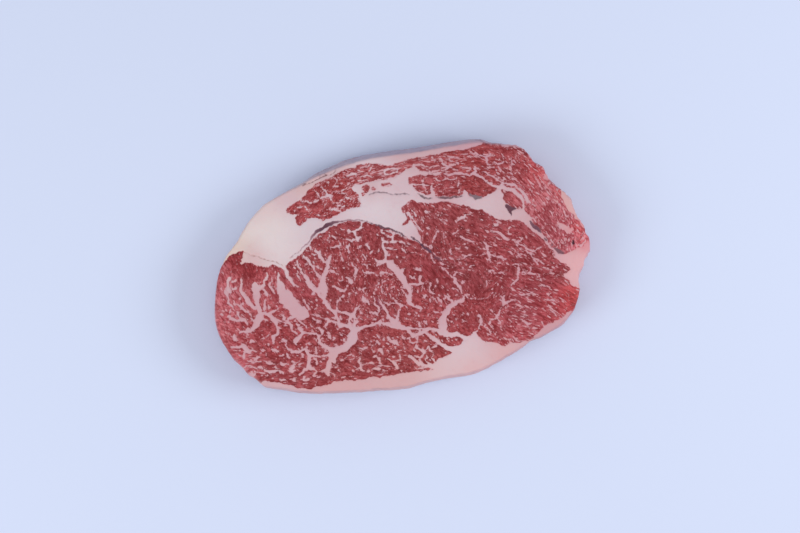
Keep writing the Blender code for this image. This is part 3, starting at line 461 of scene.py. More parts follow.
        ((49.4, -14.6, 0.4), (50.4, -16.4, 0.6)), ((48.4, -16, 0.4), (50.6, -17.6, 0.6)),
        ((53, -17.6, 0.8), (55.4, -17.1, 0.6), (57.1, -16.7, 0.7), (59, -17.8, 0.5)),
        ((49.4, -21.4, 0.8), (49, -22.6, 1.1), (48.6, -23.9, 1.3), (46.9, -23.9, 0.9),
         (45.6, -22.6, 0.6), (44.3, -21, 0.4)),
        ((47.6, -24.4, 1), (46.9, -26, 0.7), (45.4, -26.9, 1), (44, -28.6, 0.9)),
        ((47.4, -24.8, 1), (48.6, -26.9, 0.8), (49.2, -28.8, 0.7), (49.6, -30.4, 0.4)),
        ((38, -24.9, 0.9), (38.9, -25.3, 1.4), (39.7, -26.9, 0.8), (40.2, -28.6, 0.7), (39.3, -29.8, 0.7),
         (38, -31.1, 0.7), (37, -32.8, 0.8)),
        ((40.6, -30, 0.6), (42.3, -30.2, 0.7), (44, -32, 0.6), (44.6, -33.6, 0.6)), ((47.3, -33.4, 0.5),
         (46.9, -35, 0.7)),
        ((60.6, -26.6, 0.5), (61.3, -27.8, 0.8), (62.8, -28.7, 1.4), (64.6, -28.8, 0.7)),
        ((62.8, -29.4, 0.9), (63.2, -30.6, 0.6)),
        ((61.8, -22.6, 0.5), (61.4, -24.2, 0.6), (61.6, -25.4, 0.4)), ((59.3, -20.8, 0.8),
         (58.8, -21.9, 0.7)),
        ((70.4, -28.4, 0.6), (71, -30.4, 0.8)), ((66.7, -32, 0.6), (67.2, -34.2, 0.5)), ((78, -24, 0.5),
         (79.6, -24.6, 0.6)),
        ((50.2, -36.4, 0.6), (53.5, -36.8, 0.7), (56.6, -37.4, 0.5)), ((73, -16.4, 0.4),
         (76.4, -17.2, 0.5), (79, -18.2, 0.4)),
        ((72, -19.6, 0.4), (75.4, -20.2, 0.5), (78, -21.4, 0.4)), ((74, -22, 0.5), (77, -23.2, 0.5)),
    ),
    "long seam": (
        ((-24, -32.8, 3.5), (-21, -30.9, 2), (-17.6, -30, 1.5), (-14, -28.9, 1.5), (-10, -28, 1.6),
         (-6.5, -28.9, 1.7), (-3, -29.8, 2.6), (1, -30.8, 2.4), (5, -31.3, 1.6), (10, -31.3, 1.4),
         (15, -31.5, 1.6), (20.5, -32, 3)),
        ((-23, -31.5, 3), (-24, -34, 4.6), (-24.8, -36.8, 5), (-27, -39.8, 4.2), (-30.5, -41.9, 3.6),
         (-33.5, -44.8, 3), (-35.2, -47.6, 2.4), (-36.4, -51, 1.8), (-37, -54, 0.8)),
    ),
    "lower lobes": (
        ((-20.9, -40.8, 1), (-19, -41, 0.9), (-17.6, -40.8, 0.5)), ((-15.9, -37.2, 0.9),
         (-15.4, -37.6, 0.9)),
        ((-15.2, -39.5, 0.8), (-14.7, -39.8, 0.8)), ((-14.5, -41.3, 0.8), (-13.6, -42.3, 0.9)),
        ((-19.6, -37.7, 0.7), (-19.2, -38, 0.7)), ((-12.3, -34.6, 0.9), (-11.2, -35.4, 1)),
        ((-12.4, -37.5, 0.6), (-11.2, -38.4, 1.1)), ((-8.9, -35.9, 0.7), (-8.4, -36.8, 0.5)),
        ((-11.8, -42, 0.8), (-10.5, -41.7, 1.2), (-9.9, -42.8, 1.6), (-9.4, -43.8, 0.6)),
        ((-13.6, -44.9, 1.2), (-13.1, -45.1, 1.1)), ((-6.8, -38.6, 1), (-6.3, -38.9, 1)),
        ((-6.7, -35.9, 1), (-5.4, -37.2, 1.1), (-3.8, -37.8, 1.8), (-2.5, -38.4, 1.9), (-1, -39.8, 0.8)),
        ((-4.2, -35.6, 0.7), (-3.6, -35.6, 0.7)), ((-2, -35.4, 0.8), (-1.6, -35.8, 0.8)),
        ((-3.2, -40.7, 0.9), (-2.8, -41, 0.9)), ((-6.3, -42.8, 0.9), (-6, -43.2, 0.8)),
        ((-4.2, -45, 1.2), (-3.3, -45, 1.2)), ((-1.5, -42.4, 0.9), (-1.3, -42.8, 0.8)),
        ((-6.4, -45.9, 0.9), (-5, -47, 1.1), (-3.6, -47.9, 1.8), (-3, -49.4, 2), (-2.3, -50.6, 1.8)),
        ((-3, -47.4, 1.2), (-1.2, -47, 0.9), (-0.6, -45, 0.8), (-0.6, -43, 0.5)),
        ((-12, -46.2, 0.7), (-11, -46.6, 1.3), (-11.1, -48, 1.1), (-10, -48.8, 0.8), (-8, -49.6, 0.6),
         (-6.3, -50.2, 0.7)),
        ((-20.9, -45.3, 0.6), (-21, -47, 1.4), (-20.2, -48.4, 1.1), (-20.4, -50, 1.3), (-20.2, -51.4, 1.6),
         (-19.4, -52.3, 0.9), (-17.8, -53, 0.5)),
        ((-20, -49.5, 0.7), (-17.6, -49, 0.8), (-15.8, -48.6, 0.9), (-14.8, -48.4, 1.2), (-13, -48.8, 0.6)),
        ((-22.4, -51.5, 0.5), (-21, -51, 0.7)), ((-14.8, -52.1, 0.7), (-13.4, -51.2, 1), (-11.8, -51, 1.5),
         (-10.7, -51.6, 1)),
        ((-16.8, -52.8, 0.9), (-15.7, -52.6, 0.9)), ((-14.8, -53.1, 0.7), (-14.2, -54.5, 0.7)),
        ((-24.3, -51.7, 0.9), (-23.7, -52.6, 0.9)), ((-25.4, -55.2, 0.7), (-25, -55.4, 0.7)),
        ((-29.2, -55.9, 0.6), (-27.8, -55.7, 0.5)), ((-9, -52.3, 0.8), (-8.6, -52.6, 0.8)),
        ((-26.8, -44.7, 0.5), (-25, -44.4, 0.7)), ((-24.3, -44.8, 0.8), (-23.4, -45.1, 0.8)),
        ((-26.8, -47, 0.4), (-24.4, -46, 0.5), (-22.4, -45.4, 0.4)), ((-21.4, -43.3, 0.7),
         (-21, -43.8, 0.6)),
        ((0.2, -34.9, 0.8), (1.6, -35.8, 1.1), (3.6, -35.8, 0.9), (5.4, -35.2, 1), (7.4, -34.6, 1.4),
         (9.8, -33.6, 1.8), (11.4, -33, 2)),
        ((2.6, -31.6, 1.4), (4.2, -33, 1.2), (5.6, -34.4, 1.2), (7, -34.7, 1)), ((9.2, -32.2, 1.4),
         (9.4, -34, 1.4)),
        ((8, -35.6, 1.2), (8.4, -37.8, 0.7), (7.4, -39.6, 1), (8.2, -41, 1.2), (10.4, -42, 1.6),
         (11.4, -43.4, 1.5), (11, -44.6, 0.9), (9.8, -45.2, 0.8), (9, -46.4, 0.8)),
        ((4.4, -36.4, 0.5), (4.6, -37.4, 0.8), (6.4, -38, 0.7), (7.6, -37.4, 0.6)),
        ((11.8, -37.3, 0.8), (12.3, -37.6, 0.7)), ((10.2, -40, 0.7), (10.7, -40.4, 0.7)),
        ((12, -41.8, 1), (13.6, -40.6, 1), (15.4, -40.8, 0.9), (17.4, -40.3, 1.1)), ((13.6, -40.4, 0.9),
         (13.9, -39.5, 0.6)),
        ((14.5, -42.1, 0.8), (14.9, -43, 0.7)), ((15.7, -43.3, 0.7), (16.1, -45, 0.9), (15.3, -46, 1),
         (16.6, -46.8, 0.8), (17.8, -48.2, 0.9)),
        ((12.4, -44.3, 0.7), (12.8, -45.6, 0.8), (12, -46.7, 0.8), (13.4, -48.6, 1.2), (14.4, -50, 1)),
        ((3.3, -44.3, 1.1), (5, -45.4, 1.5), (6.6, -47, 1.8), (8.2, -48.4, 1.8), (10, -49.6, 1.4),
         (13, -50, 1.6), (16.5, -50.3, 1.4)),
        ((6.4, -44.6, 0.6), (8, -45, 0.7), (9.4, -46.6, 0.9), (9.3, -48.2, 1.3)),
        ((6.4, -50.6, 0.4), (9, -50.9, 0.6), (12, -51, 0.6)), ((2.2, -48.3, 0.9), (2.6, -48.6, 0.8)),
        ((22, -43.6, 0.6), (22.5, -43.7, 0.6)), ((6.6, -41.5, 0.6), (7, -41.8, 0.6)),
        ((0.6, -38.8, 0.8), (1.4, -40.3, 0.8), (2, -41.2, 0.4)), ((-0.6, -51.8, 0.9), (-0.2, -52.3, 0.8)),
        ((16, -33, 0.7), (17.6, -34.6, 0.5)), ((18.6, -34.6, 0.4), (19.6, -35.7, 0.5)),
        ((20.5, -36.7, 0.6), (21, -37.7, 0.6)), ((22.7, -36.5, 0.7), (24.4, -38, 0.5)),
        ((26, -36.9, 0.5), (28.6, -36.3, 0.4)), ((18, -35.6, 0.4), (19.2, -37.1, 0.5)),
    ),
    "left end": (
        ((-86.5, -6, 2), (-87, -9, 1.5), (-86.5, -12, 2.6), (-85.2, -13.2, 1.4)),
        ((-87.6, -13, 1.8), (-86.6, -15.6, 1), (-86.4, -18.4, 1.2), (-85, -19.6, 1.4), (-84.2, -21, 0.9),
         (-82.6, -22.5, 0.9), (-81.6, -24, 1.3), (-80.4, -26, 1)),
        ((-85, -7.8, 0.8), (-83, -6.8, 0.8)), ((-83.8, -11.6, 1.6), (-82.6, -10.8, 1)),
        ((-80.2, -6.5, 0.9), (-80, -10, 1.3), (-79.4, -13, 2.2), (-77.8, -15.5, 2.8), (-76.2, -18, 2.6),
         (-74.6, -20.2, 2), (-72.4, -21.6, 1.8), (-70.4, -23.2, 2.8)),
        ((-73.2, -8.6, 2), (-72.4, -11, 4), (-72.4, -14, 3.4), (-72.4, -17, 3), (-71.8, -20, 2.6),
         (-70.6, -23.5, 3.4)),
        ((-70.8, -11, 2.6), (-69.2, -9.6, 1.4), (-68.6, -7.4, 1), (-67.6, -6, 1), (-67.4, -3, 1)),
        ((-69, -12, 1.1), (-67.6, -13.6, 1.4), (-66.8, -15, 0.8)),
        ((-67.6, -16.8, 1), (-68.2, -19, 0.9), (-68.6, -22, 1)), ((-66.6, -19.6, 1.5), (-66.8, -21, 0.8)),
        ((-67, -24, 2.2), (-64.5, -22.8, 1.3), (-62.4, -21.2, 1.1), (-60.8, -20.4, 0.6)),
        ((-66.5, -8.4, 0.6), (-64.8, -10.6, 0.9), (-63.6, -13, 0.6)), ((-64.8, -6.2, 0.8), (-65, -8, 0.6)),
        ((-61.4, -3, 0.8), (-61.2, -7, 1.2), (-61, -12, 1.2), (-60.4, -17, 1)),
        ((-82.5, -19.2, 0.8), (-80.5, -20.6, 1.1), (-78.6, -21.8, 1.1), (-77, -23, 0.8),
         (-75.6, -24.4, 0.8), (-74.8, -26, 1.1), (-73.5, -27.5, 1.4)),
        ((-79.4, -19, 1.3), (-79.2, -18, 0.8)), ((-80.8, -16.6, 0.9), (-80.6, -15.8, 0.7)),
        ((-86.6, -24.5, 1.2), (-85.6, -26.2, 1.6), (-83.6, -26.6, 1.6), (-82, -27.5, 1),
         (-79.5, -26.6, 1.5),
         (-78, -27.4, 1.6), (-77.4, -29, 0.8)),
        ((-89.8, -23.6, 1.3), (-89, -24.2, 0.8)), ((-85.8, -22.8, 1), (-84.8, -21.8, 0.8)),
        ((-70.4, -24, 3.6), (-71.6, -27, 3.8), (-73, -30, 2.6), (-75.4, -31.6, 1.8), (-78, -32.6, 1.6),
         (-80.6, -33.4, 1)),
        ((-68.4, -23.6, 2), (-65, -25.2, 1.8), (-62.8, -27.4, 2.2), (-62.4, -30, 1.5), (-61.6, -33, 1.4),
         (-63.6, -35, 1.9), (-64.2, -37.4, 1.3), (-63.4, -38.8, 0.5)),
        ((-69.8, -27, 1.5), (-67, -27.2, 0.8)), ((-67.4, -35.4, 0.7), (-65.6, -34.4, 0.9)),
        ((-83.7, -34, 1), (-83, -36.2, 2), (-82.2, -37.2, 0.8)),
        ((-84.8, -40.6, 1.1), (-82, -40.6, 1.4), (-79.6, -39.4, 1.6), (-78, -41.2, 2.4),
         (-76.4, -42.6, 2.1),
         (-74.4, -42.3, 1.1), (-73, -42.6, 0.5)),
        ((-78.6, -42.6, 1.4), (-79.2, -45.4, 1.4), (-78.6, -46.4, 0.6)),
        ((-76.4, -38.4, 0.8), (-74.8, -37.4, 1.6), (-73.4, -38, 0.8)), ((-78.6, -35.6, 0.9),
         (-77.6, -35.4, 0.8)),
        ((-74.4, -46.4, 0.7), (-72, -45.8, 1.2), (-71.2, -45.4, 0.6)),
        ((-78, -47.2, 0.6), (-74, -47.6, 0.8), (-71.4, -47.9, 1), (-69.4, -47.4, 0.9), (-67, -48.1, 0.9),
         (-64.4, -49, 0.9), (-63.2, -49.5, 0.4)),
        ((-66.8, -38.6, 1), (-66, -39.2, 0.9)), ((-69.8, -42.3, 0.8), (-69, -42.5, 0.8)),
        ((-67.5, -44, 0.9), (-67.2, -43.4, 0.7)), ((-69.6, -36.4, 0.7), (-68.6, -35.8, 0.6)),
        ((-64.6, -41.4, 1), (-63.3, -42.1, 1.9), (-61.8, -42.8, 0.9)), ((-62.4, -40.4, 0.9),
         (-61.8, -39.8, 0.6)),
        ((-76.8, -50.4, 0.8), (-74, -50.6, 1), (-72, -51.4, 0.8)), ((-78, -49.2, 0.7), (-75.4, -49.4, 0.7)),
        ((-75.4, -52.8, 1.3), (-74, -54, 1.6), (-73, -52.9, 0.9), (-70.6, -52.9, 0.9), (-68.6, -53.5, 0.7)),
        ((-71, -50.6, 1.3), (-69, -51.5, 0.9), (-67, -52.6, 1.4), (-64.6, -52.8, 1.6), (-62, -52.5, 1.1),
         (-60.2, -53.2, 0.9), (-58.4, -54, 0.7)),
        ((-63, -50.4, 0.7), (-61.8, -52, 0.9)), ((-64.4, -56, 1), (-62.6, -56.4, 0.8)),
        ((-70.6, -54.6, 0.6), (-67.4, -54.8, 0.6)), ((-82.4, -43.4, 0.6), (-80.6, -44.6, 0.7)),
    ),
    "lobes of the shoulder": (
        ((-58.9, -23.8, 1.5), (-58.6, -26, 1.4)),
        ((-62.4, -26.4, 1), (-60, -27.5, 0.9), (-58, -28, 0.9), (-56.6, -28, 1.6), (-55.2, -29.2, 1.6),
         (-55, -31, 0.9), (-54.4, -32.6, 0.5)),
        ((-57.4, -27.4, 1.1), (-55.6, -25.8, 1.6), (-53, -24.6, 3.4)),
        ((-61, -30.6, 1.1), (-60.2, -31, 1)), ((-62, -33.4, 1.2), (-61.2, -32.4, 1)),
        ((-57.8, -29.5, 0.8), (-57.2, -29.8, 0.6)), ((-53.6, -32.7, 1.1), (-52.5, -33.6, 1)),
        ((-51.9, -29.3, 1.5), (-51.2, -29.6, 1.3)), ((-52.9, -27.6, 0.8), (-52.4, -26.8, 0.7)),
        ((-51.8, -26.4, 1), (-50.4, -28, 1), (-49, -29, 1), (-47.5, -30.3, 1.4)),
        ((-51.6, -31.2, 0.8), (-50.2, -31.7, 1.5), (-49.4, -33.2, 1.5), (-46.4, -33.3, 1.2),
         (-44, -33.8, 1.1),
         (-42.2, -34.4, 1.2), (-41.1, -36, 1.6), (-40.7, -38.2, 2), (-39, -39.5, 1.7), (-36.4, -40.5, 2),
         (-34.8, -42.2, 3.4), (-34.2, -44.6, 3.6), (-33.8, -47, 2.9), (-33.4, -48.6, 1.2)),
        ((-33.6, -41.4, 2.4), (-30.4, -41.4, 2.2), (-28, -39.8, 2.4)),
        ((-49.8, -33.4, 1.2), (-51.3, -34.8, 1.1), (-51.8, -36.4, 2.6), (-52.9, -37.2, 2.4),
         (-52.7, -38.6, 1)),
        ((-60, -37.2, 0.8), (-58.6, -37.2, 1.4), (-57.2, -37.3, 1.3)),
        ((-57.5, -39.2, 1.3), (-56.9, -41, 1), (-55.4, -41.8, 1.1), (-54.2, -42.8, 1.4), (-52, -42.9, 1.5),
         (-49.8, -42.6, 1.5), (-48.3, -41.5, 1.5), (-47, -43, 1.6), (-45.8, -44.3, 2), (-44, -44.4, 1.3),
         (-41.6, -44.8, 1.1), (-39.4, -44.6, 0.9), (-37, -44.4, 1.4), (-35.2, -44.4, 2.2)),
        ((-51.7, -41.3, 1.1), (-51.1, -41.6, 0.9)), ((-49.9, -40.1, 1.2), (-49.4, -40.4, 1)),
        ((-47.4, -40.1, 1), (-47, -40.4, 0.9)), ((-46, -42.3, 0.9), (-45.6, -42.5, 0.9)),
        ((-47.6, -38.9, 0.6), (-46, -38.6, 0.9), (-44.9, -38.9, 0.6)),
        ((-42.9, -40.6, 0.7), (-42.7, -42.2, 1), (-42.2, -43.5, 0.9)),
        ((-38.8, -40.4, 1.1), (-37.4, -41.4, 0.9)), ((-37.9, -42.6, 0.9), (-36.7, -42.9, 0.6)),
        ((-57, -43.4, 1.3), (-56.7, -45.2, 0.9)), ((-60.8, -44.9, 0.8), (-58.9, -44.6, 0.8)),
        ((-49.2, -44.3, 0.8), (-49.1, -45.4, 0.8)),
        ((-46.2, -45.4, 1.6), (-46, -48, 1.5), (-46.4, -50.3, 2.2), (-44.4, -51.2, 1.5), (-43, -52, 0.9)),
        ((-46.9, -51, 1.6), (-49, -52, 1.1), (-50.2, -53.4, 0.9), (-51.2, -54.1, 1.2)),
        ((-43.8, -46.3, 0.9), (-42.6, -47.2, 1.1), (-42.3, -48.8, 0.8)), ((-39.3, -46.2, 0.9),
         (-38.7, -46.3, 0.9)),
        ((-35.8, -46.2, 1.2), (-36.6, -48.4, 1.5), (-36.9, -50, 1.7), (-37.5, -51.4, 1.9),
         (-39.4, -52.4, 1.3),
         (-41.8, -52.4, 0.6)),
        ((-37, -51.6, 1.8), (-36.3, -53.6, 1.7), (-36.1, -55, 1.3), (-35.3, -55.9, 0.5)),
        ((-37.6, -53, 0.9), (-35, -53.3, 0.7), (-34, -53.6, 0.5)),
        ((-40.2, -31.5, 1.5), (-39.5, -32.6, 1.9), (-39.4, -34, 1)),
        ((-44.8, -31.7, 0.7), (-43.3, -31, 0.9), (-41.4, -31, 0.9), (-40, -31.4, 1.3)),
        ((-45, -29, 0.9), (-44.7, -29.6, 0.9)), ((-41.8, -28, 0.7), (-40.6, -28.2, 0.6)),
        ((-44.2, -25.5, 0.7), (-42.4, -26.6, 0.9), (-40.8, -27.1, 0.7)),
        ((-44.8, -23.8, 0.7), (-42, -24.6, 0.8), (-40, -25.2, 0.7), (-37.8, -26.2, 1), (-36, -26.6, 1.7),
         (-34.6, -27.6, 1.3), (-33, -28.6, 1.6), (-30.6, -29.2, 2.2), (-27.5, -29.8, 1.8), (-25, -30.8, 2)),
        ((-36.4, -27, 1.4), (-37.3, -29, 1.3), (-38.2, -30.2, 0.8), (-37.2, -31.4, 0.5)),
        ((-30.5, -24.8, 0.9), (-30, -26.2, 0.8)), ((-32.3, -31.3, 0.9), (-32, -31.7, 0.8)),
        ((-37, -33, 0.9), (-36.6, -33.4, 0.9)), ((-36, -35, 1.2), (-35.4, -35.6, 1)),
        ((-34.1, -35.2, 1), (-33.7, -35.8, 0.9), (-34.8, -36.8, 0.9)), ((-30.2, -33.6, 1.2),
         (-29.9, -34.4, 1)),
        ((-28.8, -36.2, 0.9), (-28.5, -37, 1.1)), ((-33.3, -39.4, 0.7), (-32.6, -39.5, 0.7)),
        ((-31.2, -32.8, 0.5), (-29, -32.4, 0.6)), ((-30.2, -47.1, 0.8), (-28.8, -46.7, 0.8)),
        ((-60.8, -48.3, 0.7), (-58.9, -49.4, 1), (-57.2, -49, 0.9), (-56.2, -49.6, 1)),
        ((-53, -48.6, 0.9), (-53.7, -50, 1.4), (-54.9, -51.4, 2.2), (-54.9, -52.8, 1.3), (-56, -53.2, 0.7)),
        ((-54, -52, 0.9), (-52.4, -52, 0.6)), ((-53, -48.8, 0.8), (-51.8, -47.8, 0.9), (-50.5, -47.2, 0.7)),
        ((-51.6, -49.1, 0.5), (-49.8, -48.8, 0.9), (-48.6, -48.4, 0.6)), ((-54.6, -47.7, 0.8),
         (-54.1, -48, 0.8)),
        ((-48.7, -55, 0.9), (-48.2, -56.5, 1.5), (-46.6, -56.8, 1.3)),
        ((-44, -54.3, 1), (-42.5, -53, 1)), ((-54.2, -57, 1.2), (-53.3, -57, 1.1)),
        ((-60.4, -57.4, 1.2), (-58, -57.1, 1)), ((-41.3, -55.8, 0.8), (-40.7, -55.8, 0.8)),
        ((-49.2, -58.7, 0.9), (-48.6, -59, 0.7)), ((-31.4, -52.3, 0.8), (-30.7, -52.6, 0.9)),
        ((-33.1, -54.6, 0.6), (-32.9, -56.6, 0.6)), ((-35, -50.7, 0.6), (-32, -50.5, 0.6)),
    ),
    "left end of the cap": (
        ((-43, 38.3, 0.4), (-41.9, 36.2, 0.6), (-40.7, 34.1, 0.8)),
        ((-40.8, 39.8, 0.5), (-39.5, 38.2, 0.6), (-37.8, 37.4, 0.8), (-37, 35.7, 1.5), (-35.6, 35.5, 1.4),
         (-35.6, 33.7, 1), (-34.6, 32.9, 0.9), (-33.6, 31.6, 0.5)),
        ((-43.6, 32.5, 0.7), (-42.2, 32.8, 0.7), (-40.7, 33.7, 0.9), (-39.1, 34.5, 0.8), (-37, 34.9, 1)),
        ((-50.6, 32.9, 0.4), (-48.1, 32.9, 0.6), (-45.6, 32.3, 0.7), (-43.6, 32.5, 0.7)),
        ((-52.6, 30, 0.4), (-50.2, 29.4, 0.5), (-48.1, 29.9, 0.8), (-47.2, 28.8, 0.8),
         (-46.1, 27.9, 0.6), (-46.5, 26.3, 0.4)),
        ((-53.4, 28, 0.7), (-53, 27.8, 0.7)), ((-38.8, 31.4, 0.6), (-38.7, 29.6, 0.7), (-39.6, 28.2, 0.4)),
        ((-35.2, 28.4, 0.8), (-34, 28.4, 1), (-32.1, 27.9, 1), (-30.4, 27.3, 0.6)), ((-36.8, 27.2, 0.4),
         (-35.6, 26.4, 0.4)),
        ((-26.6, 45.7, 0.6), (-25.4, 46.3, 1.3), (-24.4, 46.8, 1.6), (-23, 46.4, 1.3)),
        ((-29.8, 43.9, 0.6), (-27.6, 44, 0.5)),
        ((-37.8, 42.5, 0.6), (-37, 42, 0.8), (-36.2, 41, 0.6)), ((-34, 42.2, 0.4), (-32.4, 41.7, 0.7),
         (-31.2, 41.1, 0.8)),
        ((-34.3, 39.7, 0.5), (-32, 39.4, 0.5)), ((-29.4, 38, 0.6), (-28, 38.9, 0.7), (-26.4, 39.6, 0.6),
         (-25.2, 40.6, 0.7)),
        ((-22, 48.6, 0.5), (-20.2, 48, 0.7), (-18.8, 47.8, 0.5)), ((-20.6, 44.7, 0.8), (-19, 45.2, 0.8),
         (-17.2, 45.6, 0.8),
         (-15.6, 45, 0.7), (-14, 44.4, 0.6)),
        ((-16.6, 47.8, 0.7), (-16, 49.2, 0.5)), ((-13.7, 49.4, 0.6), (-13.3, 49, 0.6)),
        ((-21.4, 42.8, 0.9), (-19, 42.7, 0.6),
         (-16.8, 43.1, 0.6)),
        ((-12.9, 43.2, 0.6), (-11.6, 42.3, 0.7), (-9.6, 43.8, 0.5)), ((-15.2, 41.4, 0.7),
         (-14.6, 41.6, 0.7)),
        ((-27.8, 34.1, 0.7), (-26, 34.1, 0.9), (-25, 33.2, 0.6)), ((-30.2, 32.6, 0.4), (-28, 32, 0.3)),
        ((-31.9, 37, 0.4), (-30, 36.2, 0.4), (-27.4, 36.6, 0.4)), ((-33.8, 30.8, 0.5),
         (-31.3, 30.4, 0.5), (-27.4, 30, 0.4)),
        ((-21.6, 33.6, 0.5), (-21, 32.6, 0.4)), ((-42, 25.9, 0.5), (-39.5, 25.5, 0.5), (-37.6, 25.4, 0.4)),
        ((-7.9, 45.8, 0.9), (-8.7, 47.4, 1), (-7.4, 48.6, 1), (-5.4, 48.8, 0.9), (-3.8, 48.7, 1.1),
         (-2, 48.8, 0.8)),
        ((-8, 46, 1), (-5.6, 46.1, 1), (-3.6, 46.4, 0.9), (-2.4, 47.2, 0.8)), ((0.2, 52.4, 0.6),
         (2, 52.3, 1), (3.3, 52, 0.4)),
        ((-12, 50.4, 0.4), (-9.6, 49.2, 0.4)), ((-19, 50, 0.4), (-16.6, 50.6, 0.4)), ((-12, 46.4, 0.4),
         (-10, 46, 0.5)),
    ),
    "middle of the cap": (
        ((6.4, 50.6, 1), (6.2, 49, 2), (6.4, 47, 2.6), (9, 46.5, 1.5), (12.5, 46.8, 1.5),
         (16, 46.3, 1.1), (19.6, 46.3, 1.1),
         (24, 45.9, 0.7), (27, 46.4, 0.9), (30, 46.2, 0.8), (33, 45.8, 1), (35.5, 46.2, 1.2),
         (37, 47.4, 1.5),
         (36.8, 49.2, 1.3), (37, 50.6, 0.6)),
        ((6.6, 50.9, 0.7), (9.5, 50.6, 0.8), (12.5, 49.9, 0.7), (15.2, 49.5, 0.5)), ((12.4, 48.4, 0.5),
         (14.2, 47.6, 0.6)),
        ((18, 53.4, 0.5), (19.8, 53.8, 1), (20.4, 52.4, 1.2), (20.8, 51.2, 1.6), (22.4, 50.6, 1.2),
         (23.4, 49.2, 1.5),
         (22, 48.4, 0.8), (20.4, 48.2, 0.6)),
        ((23.8, 49.4, 1.1), (26, 49, 0.7), (28, 48, 0.5)), ((22.6, 53.8, 0.5), (25.4, 53, 0.6),
         (27.6, 52.2, 0.8), (28.4, 51.2, 1)),
        ((30, 49.2, 0.4), (32, 49.6, 0.4)), ((34.2, 49.4, 0.9), (34.8, 48.8, 0.9)), ((15, 53.8, 0.4),
         (17, 53, 0.4)),
        ((23, 55.2, 0.5), (26, 54.6, 0.6), (28.8, 54.8, 0.4)), ((32, 56.6, 0.4), (35, 56.4, 0.5),
         (38, 56.6, 0.6)),
        ((39, 56, 0.9), (40.4, 55.8, 1.2), (42.2, 55.2, 1.2), (42.9, 53.7, 1.3), (42.9, 51.8, 0.9),
         (44.8, 51.2, 0.5)),
        ((42.6, 55.6, 0.9), (44.8, 56.4, 0.7)), ((46.2, 52.2, 0.5), (47.2, 51.4, 0.8),
         (48.9, 51.3, 1.2), (50.5, 52, 0.8),
         (50.6, 54.2, 0.5), (49.7, 56, 0.4)),
        ((55.4, 51.4, 0.8), (55.2, 53, 0.8), (55.4, 54.6, 0.6)), ((56.7, 53, 0.5), (57.1, 51.8, 0.5)),
        ((58.6, 54.6, 0.5), (59.4, 52, 0.5)),
        ((36.8, 49.8, 1), (38.7, 49.1, 0.6), (40.8, 47.8, 0.7), (43.8, 46.5, 0.6), (45.9, 44.9, 0.5),
         (48, 43.2, 0.7),
         (49.7, 41.9, 0.9), (52.4, 41, 0.7)),
        ((36.6, 46.1, 1.3), (39.1, 45.3, 1.1), (41.7, 44, 1.1), (44.2, 41.9, 1), (46.8, 40.2, 1.2),
         (49.3, 39.4, 1.8),
         (51.8, 38.9, 1.3), (54, 37.7, 1), (56.5, 36, 0.9), (59, 33.9, 0.8), (60.7, 31.3, 0.8)),
        ((50, 40.6, 1.2), (52, 41.1, 0.9), (54.4, 41, 1), (57.3, 39.8, 1.1), (59.5, 38.1, 1.3),
         (62, 35.5, 1.7), (63, 33, 1.7),
         (65, 31.4, 1.1), (67, 30.5, 0.6)),
        ((44.6, 50.4, 0.4), (46.8, 48.6, 0.5), (48.6, 46.6, 0.4)), ((48.2, 49.6, 0.5),
         (50.2, 47.6, 0.5), (52.2, 45.6, 0.4)),
        ((51.8, 45.8, 0.5), (55, 44, 0.7), (58.4, 42.4, 0.7), (60.6, 41, 0.5)), ((53.6, 47.4, 0.5),
         (56.4, 45.6, 0.5)),
        ((41, 50.2, 0.4), (43, 48.6, 0.5), (45.2, 47, 0.4)), ((46.4, 46, 0.4), (48.6, 44.2, 0.5),
         (50.4, 43, 0.4)),
        ((16.9, 45, 0.6), (17.2, 43.7, 0.8), (19.2, 42.9, 0.8), (21, 43.2, 0.8), (23, 43.6, 0.6),
         (25.4, 43.5, 0.7), (27.6, 44.6, 0.8)),
        ((28.3, 43, 0.8), (28.2, 41.5, 1.1), (27.8, 40.2, 0.6)), ((26.6, 39.8, 0.5), (24, 39.4, 0.5),
         (22, 38.6, 0.4)),
        ((26, 37.2, 0.4), (23.6, 37.8, 0.4)), ((28.6, 36.8, 0.8), (29, 38.6, 0.6)), ((15.4, 41, 0.5),
         (15.2, 38.6, 1), (15.4, 36.4, 0.9)),
        ((4.8, 40.4, 1), (7, 40.7, 0.8), (9.4, 40.9, 0.7), (11.6, 40.9, 0.7), (13.6, 40.8, 0.5)),
        ((12.1, 38.9, 0.5), (11.7, 37.4, 0.7), (12.8, 36.8, 0.5)), ((18, 41, 0.4), (21, 40.6, 0.4)),
        ((19, 37.4, 0.4), (21, 36.6, 0.4)),
        ((7.4, 43.4, 0.4), (8.2, 42.4, 0.4)), ((10.4, 44, 0.4), (11, 42.6, 0.4)),
    ),
    "right end of the cap": (
        ((63.6, 40.2, 0.7), (64.6, 39.6, 0.7)), ((65.6, 33.2, 0.7), (66.8, 32.4, 0.7)),
        ((72.4, 34.4, 0.7), (73.8, 33.4, 0.7)),
        ((77.2, 33.4, 0.8), (78.6, 32.4, 0.8)), ((70, 43.6, 0.5), (72.6, 40.2, 0.8), (75.4, 37.6, 0.7)),
        ((66, 45.6, 0.4), (68.4, 42, 0.8), (71, 38.8, 0.5)), ((74.6, 13.2, 1), (75.8, 11.4, 0.7)),
        ((79, 21.4, 1), (80.8, 19.6, 0.9)), ((78.6, 12, 0.5), (81.4, 11.4, 0.6)), ((81, 14, 0.4),
         (83, 12.8, 0.5)),
    ),
}

